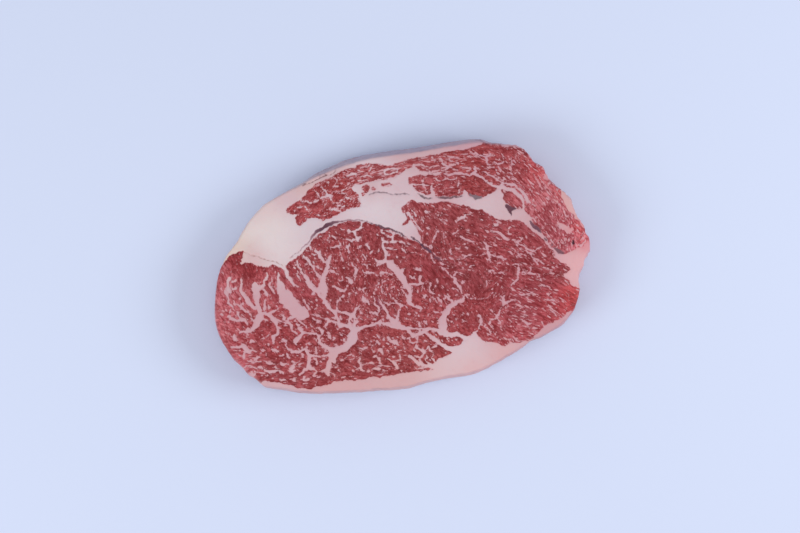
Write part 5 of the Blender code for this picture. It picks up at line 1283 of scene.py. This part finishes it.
    def _tissue_places(self) -> tuple[np.ndarray, np.ndarray]:
        """Where each corner lies on the map, and how far it is clothed in skin.

        Returns:
            The place in millimetres that each corner's tissue is read at, and its share of skin. The
            wall shows what lies just inside the edge above it, and the muscles slant with depth.
        """
        rows = self.rows_of_points
        heights = rows[:, :, 2]
        first = (heights < heights.max(axis=0) - self.edge_drop).sum(axis=0)
        edge = rows[first, np.arange(self.corners_round)]
        on_wall = np.arange(self.rows)[:, None] < first
        held = 1 - 0.7 * np.clip(heights / (3 * MM), 0, 1)
        places = edge[:, :2] + np.where(on_wall, held, 1)[:, :, None] * (rows[:, :, :2] - edge[:, :2])
        drop = np.clip((edge[:, 2] - heights) / self.skin_start, 0, 1)
        skin = np.where(on_wall, drop * np.clip(heights / (1.5 * MM), 0, 1), 0)
        count = rows.shape[0] * rows.shape[1]
        all_places = self.points[:, :2].copy()
        all_places[:count] = places.reshape(-1, 2)
        all_skin = np.zeros(len(self.points))
        all_skin[:count] = skin.reshape(-1)
        sunk = 1 - self.points[:, 2] / self.points[:, 2].max()
        places = all_places / MM * self.map_scale + sunk[:, None] * np.array(self.slant)
        astray = [lattice_noise(self.points / MM, 9.0, seed) for seed in (61.0, 67.0)]
        on_side = np.clip(sunk * 3, 0, 1) * np.clip(self.points[:, 2] / (3 * MM), 0, 1)
        places += self.drift * (on_side * np.array(astray)).T
        return places, all_skin * all_skin * (3 - 2 * all_skin)

    def _shape(self, tissue: Tissue, skin: np.ndarray, outward: np.ndarray) -> None:
        """Raises the lean, sinks the creases and the membrane, and lumps the wall."""
        solid = self.points / MM
        lean = np.clip(-tissue.fat, 0, None)
        relief = self.lean_rise * (1 - np.exp(-lean / 1.3))
        relief -= self.crease * np.exp(-((tissue.fat / 0.55) ** 2))
        relief -= self.groove * np.clip(tissue.sinew / 0.8 + 0.4, 0, 1)
        relief += self._lumps(solid, self.fat_swell) * np.clip(tissue.fat / 2, 0, 1)
        relief -= self.settle
        on_top = np.clip(outward[:, 2], 0, 1) * np.clip(solid[:, 2] / 8 - 1, 0, 1)
        lumps = self._lumps(solid, self.wall_lumps) + tissue.torn * self._lumps(solid, self.torn_lumps)
        lumps += self.regrow
        for x, y, reach, depth in DENTS:
            lumps -= depth * MM * np.exp(-((solid[:, 0] - x) ** 2 + (solid[:, 1] - y) ** 2) / reach**2)
        side = 1 - np.abs(outward[:, 2])
        lift = np.clip(solid[:, 2] / 3, 0, 1)
        shift = relief * on_top * (1 - 0.65 * skin) + lumps * side * lift
        low, high = (np.array(corner) for corner in CAD_BOX)
        self.points = np.clip(self.points + shift[:, None] * outward, low + self.margin, high - self.margin)

    @staticmethod
    def _lumps(solid: np.ndarray, kinds: tuple[Lump, ...]) -> np.ndarray:
        """The height of some sizes of lump together at each point."""
        return sum(height * MM * lattice_noise(solid, size, seed) for height, size, seed in kinds)

    def build(self, material: bpy.types.Material) -> bpy.types.Object:
        """Builds the body.

        Args:
            material: the meat's finish.

        Returns:
            The body, at the origin, with its tissue stored at its corners.
        """
        self._lay_out()
        places, skin = self._tissue_places()
        tissue = self.tissue_map.read(places)
        skin *= 1 - tissue.torn
        mesh = bpy.data.meshes.new("steak_body")
        mesh.from_pydata([tuple(point) for point in self.points], [], self.faces)
        self._face_outwards(mesh)
        normals = np.empty(len(mesh.vertices) * 3)
        mesh.vertices.foreach_get("normal", normals)
        self._shape(tissue, skin, normals.reshape(-1, 3))
        mesh.vertices.foreach_set("co", self.points.ravel())
        self._store(mesh, tissue, skin)
        self._store_grain(mesh, places)
        self._unwrap(mesh)
        mesh.materials.append(material)
        mesh.shade_smooth()
        mesh.update()
        body = bpy.data.objects.new("steak_body", mesh)
        bpy.context.scene.collection.objects.link(body)
        return body

    @staticmethod
    def _face_outwards(mesh: bpy.types.Mesh) -> None:
        """Turns every face outwards and keeps the corners' order."""
        bm = bmesh.new()
        bm.from_mesh(mesh)
        bmesh.ops.recalc_face_normals(bm, faces=bm.faces[:])
        bm.to_mesh(mesh)
        bm.free()

    @staticmethod
    def _store(mesh: bpy.types.Mesh, tissue: Tissue, skin: np.ndarray) -> None:
        """Keeps the tissue's values at the mesh's corners, for the finish to read."""
        numbers = {
            Layer.FAT: tissue.fat, Layer.SINEW: tissue.sinew, Layer.FLECKS: tissue.flecks,
            Layer.LOBES: tissue.lobes, Layer.SKIN: skin,
        }
        for layer, values in numbers.items():
            store = mesh.attributes.new(layer.value, "FLOAT", "POINT")
            store.data.foreach_set("value", values.astype(np.float32))
        tones = {
            Layer.LEAN_TONE: tissue.lean_tone, Layer.FAT_TONE: tissue.fat_tone,
            Layer.SINEW_TONE: tissue.sinew_tone, Layer.SKIN_TONE: tissue.skin_tone,
        }
        for layer, tone in tones.items():
            full = np.column_stack([tone, np.ones(len(tone))]).astype(np.float32)
            mesh.attributes.new(layer.value, "FLOAT_COLOR", "POINT").data.foreach_set("color", full.ravel())

    def _store_grain(self, mesh: bpy.types.Mesh, places: np.ndarray) -> None:
        """Keeps the grain face by face, so that bundles meet at clean borders."""
        corners = np.empty(len(mesh.loops), dtype=np.int32)
        mesh.loops.foreach_get("vertex_index", corners)
        sizes = np.empty(len(mesh.polygons), dtype=np.int32)
        mesh.polygons.foreach_get("loop_total", sizes)
        starts = np.concatenate([[0], np.cumsum(sizes)[:-1]])
        middles = np.add.reduceat(places[corners], starts, axis=0) / sizes[:, None]
        bundle = np.repeat(self.tissue_map.bundle_of(middles), sizes)
        grain = self.tissue_map.grain(places[corners], self.points[corners, 2] / MM, bundle)
        store = mesh.attributes.new(Layer.GRAIN.value, "FLOAT_VECTOR", "CORNER")
        store.data.foreach_set("vector", grain.astype(np.float32).ravel())

    def _unwrap(self, mesh: bpy.types.Mesh) -> None:
        """Lays the upper face, the smaller underside and three strips of wall on a map for baking.

        Args:
            mesh: the body's mesh, whose first faces are the rows' quads, in order.
        """
        corners = np.empty(len(mesh.loops), dtype=np.int32)
        mesh.loops.foreach_get("vertex_index", corners)
        sizes = np.empty(len(mesh.polygons), dtype=np.int32)
        mesh.polygons.foreach_get("loop_total", sizes)
        tilt = np.empty(len(mesh.polygons) * 3)
        mesh.polygons.foreach_get("normal", tilt)
        tilt = np.repeat(tilt[2::3], sizes)
        face = np.repeat(np.arange(len(sizes)), sizes)
        low, high = (np.array(corner[:2]) for corner in CAD_BOX)
        flat = (self.points[corners, :2] - low) / (high - low).max()
        under = np.array((0.01, 0.69)) + 0.33 * flat
        uv = np.where((tilt < 0)[:, None], under, np.array((0.01, 0.005)) + 0.98 * flat)
        on_wall = (np.abs(tilt) < self.wall_tilt) & (face < (self.rows - 1) * self.corners_round)
        column = face % self.corners_round
        row, place = np.divmod(corners, self.corners_round)
        strip_length = self.corners_round // 3
        strip, along = np.divmod(column, strip_length)
        along = along + (place - column) % self.corners_round
        first, last = row[on_wall].min(), row[on_wall].max()
        across = strip * 0.1 + 0.09 * (row - first) / (last - first)
        wall = np.column_stack([0.36 + 0.63 * along / strip_length, 0.69 + across])
        uv[on_wall] = wall[on_wall]
        mesh.uv_layers.new(name="OFBake").data.foreach_set("uv", uv.astype(np.float32).ravel())


# ---------------------------------------------------------------------------------------------
# Node trees
# ---------------------------------------------------------------------------------------------

Value = bpy.types.NodeSocket | float | tuple


@dataclass
class NodeBoard:
    """Adds nodes to a tree and links them, a value or another node's output at a time."""

    tree: bpy.types.NodeTree

    def add(self, kind: str, **settings: object) -> bpy.types.Node:
        """Adds a node of a kind, with its settings."""
        node = self.tree.nodes.new(kind)
        for name, value in settings.items():
            setattr(node, name, value)
        return node

    def feed(self, socket: bpy.types.NodeSocket, value: Value) -> None:
        """Links an output to a socket, or sets the socket to a constant."""
        if isinstance(value, bpy.types.NodeSocket):
            self.tree.links.new(value, socket)
        else:
            socket.default_value = value

    def math(self, operation: str, first: Value, second: Value = 0.0) -> bpy.types.NodeSocket:
        """A sum, product or other operation on two numbers."""
        node = self.add("ShaderNodeMath", operation=operation)
        self.feed(node.inputs[0], first)
        self.feed(node.inputs[1], second)
        return node.outputs[0]

    def ease(
        self, value: Value, low: Value, high: Value, start: Value = 0.0, end: Value = 1.0
    ) -> bpy.types.NodeSocket:
        """Goes smoothly from start to end as value goes from low to high."""
        node = self.add("ShaderNodeMapRange", interpolation_type="SMOOTHSTEP")
        for socket, number in zip(node.inputs[:5], (value, low, high, start, end)):
            self.feed(socket, number)
        return node.outputs[0]

    def mix(
        self, share: Value, first: Value, second: Value, blend: str = "MIX"
    ) -> bpy.types.NodeSocket:
        """Mixes two colours."""
        node = self.add("ShaderNodeMix", data_type="RGBA", blend_type=blend)
        self.feed(node.inputs[0], share)
        self.feed(node.inputs[6], first)
        self.feed(node.inputs[7], second)
        return node.outputs[2]

    def noise(
        self, place: Value, scale: float, detail: float = 2.0, roughness: float = 0.5, seed: float = 0.0
    ) -> bpy.types.NodeSocket:
        """Cloudy noise around 0.5, with features of 1 / scale; seed moves to another part of it."""
        return self._texture("ShaderNodeTexNoise", place, scale, seed, Detail=detail, Roughness=roughness)

    def cell_borders(self, place: Value, scale: float, seed: float = 0.0) -> bpy.types.NodeSocket:
        """Distance from the borders of random cells of size 1 / scale."""
        return self._texture("ShaderNodeTexVoronoi", place, scale, seed, feature="DISTANCE_TO_EDGE")

    def dots(
        self, place: Value, scale: float, size: float, share: Value, seed: float
    ) -> bpy.types.NodeSocket:
        """Uneven dots, in a share of the random cells of size 1 / scale."""
        cells = self._texture("ShaderNodeTexVoronoi", place, scale, seed).node
        parts = self.add("ShaderNodeSeparateColor")
        self.feed(parts.inputs[0], cells.outputs["Color"])
        over = self.math("SUBTRACT", self.math("ADD", parts.outputs[0], share), 1.0)
        radius = self.ease(over, 0.0, 0.35, -0.1, size)
        return self.ease(self.math("SUBTRACT", radius, cells.outputs["Distance"]), -0.05, 0.08)

    def warp(self, place: Value, scale: float, amount: float, seed: float = 0.0) -> bpy.types.NodeSocket:
        """Shifts a place to and fro by up to about half the amount."""
        cloud = self._texture("ShaderNodeTexNoise", place, scale, seed, output="Color", Detail=2.0)
        centred = self.add("ShaderNodeVectorMath", operation="SUBTRACT")
        self.feed(centred.inputs[0], cloud)
        centred.inputs[1].default_value = (0.5, 0.5, 0.5)
        moved = self.add("ShaderNodeVectorMath", operation="MULTIPLY_ADD")
        self.feed(moved.inputs[0], centred.outputs[0])
        moved.inputs[1].default_value = (amount,) * 3
        self.feed(moved.inputs[2], place)
        return moved.outputs[0]

    def _texture(
        self, kind: str, place: Value, scale: float, seed: float, output: str | int = 0,
        feature: str | None = None, **numbers: float
    ) -> bpy.types.NodeSocket:
        """A texture node on a place, moved by its seed, with its numbers set."""
        moved = self.add("ShaderNodeVectorMath", operation="ADD")
        self.feed(moved.inputs[0], place)
        moved.inputs[1].default_value = (seed, seed * 0.7, seed * 1.3)
        node = self.add(kind)
        if feature:
            node.feature = feature
        self.feed(node.inputs["Vector"], moved.outputs[0])
        node.inputs["Scale"].default_value = scale
        for name, number in numbers.items():
            node.inputs[name].default_value = number
        return node.outputs[output]

    def attribute(self, layer: Layer, output: str = "Fac") -> bpy.types.NodeSocket:
        """A value stored at the mesh's corners."""
        return self.add("ShaderNodeAttribute", attribute_name=layer.value).outputs[output]

    def scaled(self, place: Value, scales: tuple[float, float, float]) -> bpy.types.NodeSocket:
        """A place with each of its numbers scaled."""
        node = self.add("ShaderNodeVectorMath", operation="MULTIPLY")
        self.feed(node.inputs[0], place)
        node.inputs[1].default_value = scales
        return node.outputs[0]

    def millimetres(self) -> bpy.types.NodeSocket:
        """The place on the object, in millimetres."""
        return self.scaled(self.add("ShaderNodeTexCoord").outputs["Object"], (1 / MM,) * 3)


# ---------------------------------------------------------------------------------------------
# Relief of the fibres
# ---------------------------------------------------------------------------------------------


@dataclass(frozen=True)
class FibreRelief:
    """Fine ridges along the fibres and pebbly fat, raised on the body by Geometry Nodes."""

    ridge_height: float = 0.22 * MM
    ridge_width: float = 1.5  # mm across the fibres
    pebble_height: float = 0.16 * MM
    pebble_size: float = 2.4  # mm
    seed: float = 7.0

    def build(self, body: bpy.types.Object) -> None:
        """Raises the relief and turns the result into the body's plain mesh.

        Args:
            body: the steak's body, with its tissue stored at its corners.
        """
        low, high = (np.array(corner) for corner in CAD_BOX)
        margin = SteakBody.margin
        values = {
            "Ridge height": self.ridge_height, "Ridge scale": 1 / self.ridge_width,
            "Pebble height": self.pebble_height, "Pebble scale": 1 / self.pebble_size,
            "Seed": self.seed, "Low corner": tuple(low + margin), "High corner": tuple(high - margin),
            "Finish": body.data.materials[0],
        }
        modifier = body.modifiers.new("fibre_relief", "NODES")
        modifier.node_group = self._tree()
        for item in modifier.node_group.interface.items_tree:
            if item.in_out == "INPUT" and item.name in values:
                modifier[item.identifier] = values[item.name]
        depsgraph = bpy.context.evaluated_depsgraph_get()
        plain = bpy.data.meshes.new_from_object(
            body.evaluated_get(depsgraph), preserve_all_data_layers=True, depsgraph=depsgraph
        )
        smooth = body.data
        body.modifiers.clear()
        body.data = plain
        bpy.data.meshes.remove(smooth)
        plain.name = body.name

    def _tree(self) -> bpy.types.NodeTree:
        """The node tree: noise along the grain and in the fat, kept inside a box."""
        tree = bpy.data.node_groups.new("fibre_relief", "GeometryNodeTree")
        tree.interface.new_socket("Geometry", in_out="INPUT", socket_type="NodeSocketGeometry")
        for name in ("Ridge height", "Ridge scale", "Pebble height", "Pebble scale", "Seed"):
            tree.interface.new_socket(name, in_out="INPUT", socket_type="NodeSocketFloat")
        for name in ("Low corner", "High corner"):
            tree.interface.new_socket(name, in_out="INPUT", socket_type="NodeSocketVector")
        tree.interface.new_socket("Finish", in_out="INPUT", socket_type="NodeSocketMaterial")
        tree.interface.new_socket("Geometry", in_out="OUTPUT", socket_type="NodeSocketGeometry")
        board = NodeBoard(tree)
        given = board.add("NodeGroupInput").outputs
        in_fat = board.ease(self._stored(board, Layer.FAT, "FLOAT"), -0.3, 0.3)
        in_lean = board.math("SUBTRACT", 1.0, in_fat)
        position = board.add("GeometryNodeInputPosition").outputs[0]
        place = board.scaled(position, (1 / MM,) * 3)
        grain = self._stored(board, Layer.GRAIN, "FLOAT_VECTOR")
        ridge = self._bumps(board, grain, given["Ridge scale"], given["Ridge height"], given["Seed"])
        pebble = self._bumps(board, place, given["Pebble scale"], given["Pebble height"], given["Seed"])
        height = board.math(
            "ADD", board.math("MULTIPLY", ridge, in_lean), board.math("MULTIPLY", pebble, in_fat)
        )
        rise = board.add("ShaderNodeVectorMath", operation="SCALE")
        board.feed(rise.inputs[0], board.add("GeometryNodeInputNormal").outputs[0])
        board.feed(rise.inputs["Scale"], height)
        moved = position
        for operation, other in (
            ("ADD", rise.outputs[0]), ("MAXIMUM", given["Low corner"]), ("MINIMUM", given["High corner"])
        ):
            node = board.add("ShaderNodeVectorMath", operation=operation)
            board.feed(node.inputs[0], moved)
            board.feed(node.inputs[1], other)
            moved = node.outputs[0]
        shaped = board.add("GeometryNodeSetPosition")
        board.feed(shaped.inputs["Geometry"], given["Geometry"])
        board.feed(shaped.inputs["Position"], moved)
        whole = board.add("GeometryNodeRealizeInstances")
        board.feed(whole.inputs["Geometry"], shaped.outputs[0])
        dressed = board.add("GeometryNodeSetMaterial")
        board.feed(dressed.inputs["Geometry"], whole.outputs[0])
        board.feed(dressed.inputs["Material"], given["Finish"])
        board.feed(board.add("NodeGroupOutput").inputs["Geometry"], dressed.outputs[0])
        return tree

    @staticmethod
    def _stored(board: NodeBoard, layer: Layer, kind: str) -> bpy.types.NodeSocket:
        """A value that the mesh stores."""
        node = board.add("GeometryNodeInputNamedAttribute", data_type=kind)
        node.inputs["Name"].default_value = layer.value
        return node.outputs["Attribute"]

    @staticmethod
    def _bumps(
        board: NodeBoard, place: Value, scale: Value, height: Value, seed: Value
    ) -> bpy.types.NodeSocket:
        """Noise from about minus to plus half the height."""
        noise = board.add("ShaderNodeTexNoise", noise_dimensions="4D")
        board.feed(noise.inputs["Vector"], place)
        board.feed(noise.inputs["W"], seed)
        board.feed(noise.inputs["Scale"], scale)
        return board.math("MULTIPLY", board.math("SUBTRACT", noise.outputs[0], 0.5), height)


# ---------------------------------------------------------------------------------------------
# Finish
# ---------------------------------------------------------------------------------------------


@dataclass(frozen=True)
class BeefFinish:
    """Raw marbled beef: lean, fat, sinew and outer skin, told apart by what the mesh stores."""

    deep: tuple[float, float, float, float] = (0.60, 0.28, 0.34, 1)
    pale: tuple[float, float, float, float] = (1.5, 2.4, 2.3, 1)
    blush: tuple[float, float, float, float] = (1.42, 2.5, 2.4, 1)
    fleck_tone: tuple[float, float, float, float] = (*srgb(206, 155, 163), 1)
    edge_tint: tuple[float, float, float, float] = (0.95, 0.80, 0.82, 1)
    under: tuple[float, float, float, float] = (1.04, 0.80, 0.80, 1)  # lean without its flecks
    # darker skin tone: the strands' dark bands, and painted shade at the wall's foot by the floor
    skin_dark_strands_and_foot_shade: tuple[float, float, float, float] = (0.50, 0.42, 0.52, 1)
    skin_cream: tuple[float, float, float, float] = (1.35, 1.28, 1.15, 1)
    skin_strand: tuple[float, float, float] = (0.14, 0.14, 0.45)  # strands run round the steak
    dots: tuple[tuple[float, float, float, float], ...] = (  # scale, size, share, strength
        (0.4, 0.28, 0.4, 1.0), (0.7, 0.33, 0.75, 0.85), (1.2, 0.34, 0.8, 0.65),
    )
    vein_waver: float = 1.5
    vein_fray: float = 1.4
    lean_roughness: float = 0.42
    fat_roughness: float = 0.5
    specular: float = 0.3
    scatter: float = 0.08
    scatter_depth: float = 0.8 * MM
    bump_depth: float = 0.15 * MM

    def build(self) -> bpy.types.Material:
        """Builds the material."""
        material = bpy.data.materials.new("raw_marbled_beef")
        material.use_nodes = True
        board = NodeBoard(material.node_tree)
        place = board.millimetres()
        grain = board.warp(board.attribute(Layer.GRAIN, "Vector"), 0.4, 1.5)
        fibre = board.noise(grain, 1.2, 3.0, 0.6)
        in_fat = self._fat_share(board, place, grain)
        lean = self._lean(board, place, grain, fibre)
        fat = self._fat(board, place)
        colour = board.mix(in_fat, lean, fat)
        colour = self._with_sinew(board, place, colour)
        colour = self._with_skin(board, place, colour, in_fat)
        shader = board.tree.nodes["Principled BSDF"]
        board.feed(shader.inputs["Base Color"], colour)
        board.feed(
            shader.inputs["Roughness"], board.ease(in_fat, 0, 1, self.lean_roughness, self.fat_roughness)
        )
        shader.inputs["Subsurface Weight"].default_value = self.scatter
        shader.inputs["Subsurface Radius"].default_value = (1.0, 0.35, 0.25)
        shader.inputs["Subsurface Scale"].default_value = self.scatter_depth
        shader.inputs["Specular IOR Level"].default_value = self.specular
        self._bump(board, place, grain, fibre, shader)
        return material

    def _fat_share(self, board: NodeBoard, place: Value, grain: Value) -> bpy.types.NodeSocket:
        """1 in fat, 0 in lean, with a wavering border that frays along the fibres."""
        waver = board.math("SUBTRACT", board.noise(place, 0.5, 3.0, 0.6, seed=3.0), 0.5)
        fray = board.math("SUBTRACT", board.noise(grain, 1.1, 3.0, 0.6, seed=9.0), 0.5)
        depth = board.math("ADD", board.attribute(Layer.FAT), board.math("MULTIPLY", waver, self.vein_waver))
        depth = board.math("ADD", depth, board.math("MULTIPLY", fray, self.vein_fray))
        return board.ease(depth, -0.16, 0.2)

    def _flecks(self, board: NodeBoard, grain: Value) -> bpy.types.NodeSocket:
        """Where the fine marbling shows, from 0 to 1."""
        near_fat = board.ease(board.attribute(Layer.FAT), -3.0, -0.4, 0.0, 0.2)
        amount = board.math("ADD", board.attribute(Layer.FLECKS), near_fat)
        place = board.warp(grain, 1.1, 0.9, 25.0)
        shown = 0.0
        for number, (scale, size, most, strength) in enumerate(self.dots):
            share = board.math("MULTIPLY", amount, most)
            spots = board.dots(place, scale, size, share, 20.0 * (number + 1))
            shown = board.math("MAXIMUM", shown, board.math("MULTIPLY", spots, strength))
        cloud = board.noise(grain, 0.75, 2.0, 0.55, 50.0)
        over = board.math("SUBTRACT", cloud, board.ease(amount, 0, 1, 0.73, 0.6))
        return board.math("MAXIMUM", shown, board.ease(over, -0.01, 0.05, 0.0, 0.9))

    def _lobe_borders(self, board: NodeBoard, place: Value, grain: Value) -> bpy.types.NodeSocket:
        """The pale fat between small lobes of lean, from 0 to 1."""
        gap = board.cell_borders(board.warp(grain, 0.7, 2.4, 81.0), 0.23, 71.0)
        patch = board.noise(place, 0.22, 3.0, 0.65, 75.0)
        width = board.ease(patch, 0.34, 0.68, -0.02, 0.24)
        over = board.math("SUBTRACT", board.math("MULTIPLY", width, board.attribute(Layer.LOBES)), gap)
        fray = board.math("SUBTRACT", board.noise(place, 1.1, 3.0, 0.6, seed=77.0), 0.5)
        over = board.math("ADD", over, board.math("MULTIPLY", fray, 0.2))
        return board.ease(over, -0.02, 0.05, 0.0, 0.95)

    def _lean(self, board: NodeBoard, place: Value, grain: Value, fibre: Value) -> bpy.types.NodeSocket:
        """The colour of lean meat."""
        tone = board.mix(1.0, board.attribute(Layer.LEAN_TONE, "Color"), self.under, "MULTIPLY")
        deep = board.mix(1.0, tone, self.deep, "MULTIPLY")
        pale = board.mix(1.0, tone, self.pale, "MULTIPLY")
        lean = board.mix(board.ease(fibre, 0.34, 0.54), deep, tone)
        lean = board.mix(board.ease(fibre, 0.52, 0.68), lean, pale)
        blush = board.mix(1.0, tone, self.blush, "MULTIPLY")
        streaks = board.noise(grain, 0.7, 4.0, 0.68, seed=33.0)
        lean = board.mix(board.ease(streaks, 0.47, 0.64, 0.0, 0.95), lean, blush)
        lean = board.mix(board.ease(streaks, 0.46, 0.32, 0.0, 0.75), lean, deep)
        patch = board.ease(board.noise(place, 0.14, 2.0, seed=31.0), 0.42, 0.66, 0.0, 0.45)
        lean = board.mix(patch, lean, deep)
        pale_share = board.math(
            "MAXIMUM", self._flecks(board, grain), self._lobe_borders(board, place, grain)
        )
        return board.mix(pale_share, lean, self.fleck_tone)

    def _fat(self, board: NodeBoard, place: Value) -> bpy.types.NodeSocket:
        """The colour of fat, pinker towards the lean."""
        tone = board.attribute(Layer.FAT_TONE, "Color")
        pink = board.mix(1.0, tone, self.edge_tint, "MULTIPLY")
        cloud = board.noise(place, 0.35, 4.0, 0.6, seed=60.0)
        depth = board.math("ADD", board.attribute(Layer.FAT), board.math("MULTIPLY", cloud, 0.8))
        fat = board.mix(board.ease(depth, 0.1, 1.1), pink, tone)
        return board.mix(board.ease(cloud, 0.5, 0.8, 0.0, 0.35), fat, pink)

    def _with_sinew(self, board: NodeBoard, place: Value, colour: Value) -> bpy.types.NodeSocket:
        """Lays the dark sinew over the colour."""
        fray = board.math("SUBTRACT", board.noise(place, 0.9, 3.0, seed=80.0), 0.5)
        depth = board.math("ADD", board.attribute(Layer.SINEW), board.math("MULTIPLY", fray, 0.8))
        return board.mix(board.ease(depth, -0.25, 0.3), colour, board.attribute(Layer.SINEW_TONE, "Color"))

    def _with_skin(
        self, board: NodeBoard, place: Value, colour: Value, in_fat: Value
    ) -> bpy.types.NodeSocket:
        """Lays the thin, stranded outer skin over the wall; lean shows through it a little. Painted shade
        darkens the wall's lowest millimetres, next to the floor.
        """
        cloud = board.noise(place, 0.22, 4.0, 0.6, seed=90.0)
        tone = board.attribute(Layer.SKIN_TONE, "Color")
        wavy = board.scaled(board.warp(place, 0.12, 7.0, 92.0), self.skin_strand)
        strands = board.noise(wavy, 1.0, 4.0, 0.65, seed=94.0)
        shade = board.mix(1.0, tone, self.skin_dark_strands_and_foot_shade, "MULTIPLY")
        cream = board.mix(1.0, tone, self.skin_cream, "MULTIPLY")
        skin = board.mix(board.ease(strands, 0.5, 0.68, 0.0, 0.4), tone, shade)
        skin = board.mix(board.ease(strands, 0.48, 0.34, 0.0, 0.4), skin, cream)
        skin = board.mix(board.ease(cloud, 0.45, 0.75, 0.0, 0.5), skin, colour)
        # painted shade: the skin darkens towards the floor over the wall's lowest 6 mm
        height = board.add("ShaderNodeSeparateXYZ")
        board.feed(height.inputs[0], place)
        skin = board.mix(board.ease(height.outputs[2], 6.0, 1.0, 0.0, 0.4), skin, shade)
        cover = board.ease(in_fat, 0, 1, 0.72, 0.9)
        return board.mix(board.math("MULTIPLY", board.attribute(Layer.SKIN), cover), colour, skin)

    def _bump(
        self, board: NodeBoard, place: Value, grain: Value, fibre: Value, shader: bpy.types.Node
    ) -> None:
        """Gives the surface its finest unevenness."""
        fine = board.noise(grain, 2.6, 3.0, 0.6, seed=5.0)
        height = board.math("ADD", board.math("MULTIPLY", fibre, 0.8), board.math("MULTIPLY", fine, 0.4))
        bump = board.add("ShaderNodeBump")
        bump.inputs["Strength"].default_value = 0.6
        bump.inputs["Distance"].default_value = self.bump_depth
        board.feed(bump.inputs["Height"], height)
        board.feed(shader.inputs["Normal"], bump.outputs[0])


# ---------------------------------------------------------------------------------------------
# Studio
# ---------------------------------------------------------------------------------------------


@dataclass(frozen=True)
class Studio:
    """A pale floor, two large soft lamps and the camera straight overhead."""

    floor_size: float = 6.0
    floor_tone: tuple[int, int, int] = (210, 219, 243)
    sky_tone: tuple[float, float, float, float] = (0.96, 0.975, 1.0, 1)
    sky_strength: float = 0.63
    lamps: tuple[tuple[float, float], ...] = ((0, 5.6), (210, 4.7))  # azimuth in degrees, power
    lamp_height: float = 38.0  # degrees above the floor
    lamp_distance: float = 1.2
    lamp_size: float = 0.7
    lens: float = 100.0
    film_width: float = 36.0
    view_width: float = 0.4
    view_height: float = 12 * MM
    aside: float = -0.75 * MM

    def build(self) -> None:
        """Builds the whole studio."""
        self._floor()
        self._sky()
        self._lamps()
        self._camera()
        bpy.context.scene.view_settings.view_transform = "Standard"

    def _floor(self) -> None:
        """Lays the floor just under the steak."""
        mesh = bpy.data.meshes.new("floor")
        half = self.floor_size / 2
        corners = [(-half, -half, 0), (half, -half, 0), (half, half, 0), (-half, half, 0)]
        mesh.from_pydata(corners, [], [(0, 1, 2, 3)])
        floor = bpy.data.objects.new("floor", mesh)
        floor.location.z = -0.05 * MM
        bpy.context.scene.collection.objects.link(floor)
        material = bpy.data.materials.new("floor_card")
        material.use_nodes = True
        shader = material.node_tree.nodes["Principled BSDF"]
        shader.inputs["Base Color"].default_value = (*srgb(*self.floor_tone), 1)
        shader.inputs["Roughness"].default_value = 0.9
        shader.inputs["Specular IOR Level"].default_value = 0.1
        mesh.materials.append(material)

    def _sky(self) -> None:
        """Lights the scene evenly from all round."""
        world = bpy.data.worlds.new("soft_sky")
        world.use_nodes = True
        background = world.node_tree.nodes["Background"]
        background.inputs["Color"].default_value = self.sky_tone
        background.inputs["Strength"].default_value = self.sky_strength
        bpy.context.scene.world = world

    def _lamps(self) -> None:
        """Sets up the soft lamps, all aimed at the steak."""
        height = math.radians(self.lamp_height)
        for number, (azimuth, power) in enumerate(self.lamps):
            turn = math.radians(azimuth)
            level = math.cos(height)
            aim = Vector((math.cos(turn) * level, math.sin(turn) * level, math.sin(height)))
            light = bpy.data.lights.new(f"softbox_{number}", "AREA")
            light.shape = "DISK"
            light.size = self.lamp_size
            light.energy = power
            lamp = bpy.data.objects.new(light.name, light)
            lamp.location = aim * self.lamp_distance
            lamp.rotation_euler = aim.to_track_quat("Z", "Y").to_euler()
            bpy.context.scene.collection.objects.link(lamp)

    def _camera(self) -> None:
        """Sets the camera straight above, framing the steak."""
        data = bpy.data.cameras.new("overhead")
        data.lens = self.lens
        data.sensor_width = self.film_width
        camera = bpy.data.objects.new("overhead", data)
        distance = self.view_width * self.lens / self.film_width
        camera.location = (self.aside, 0, self.view_height + distance)
        bpy.context.scene.collection.objects.link(camera)
        bpy.context.scene.camera = camera


def main() -> None:
    """Builds the steak and its studio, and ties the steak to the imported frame."""
    logging.basicConfig(level=logging.INFO, format="%(name)s: %(message)s")
    Studio().build()
    form = PackedForm(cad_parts[NODE])
    steak = SteakBody(form, TissueMap()).build(BeefFinish().build())
    FibreRelief().build(steak)
    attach(steak, BODY)
    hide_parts(NODE)
    LOG.info("%s: %d corners, %d faces", steak.name, len(steak.data.vertices), len(steak.data.polygons))


if __name__ == "__main__":
    main()
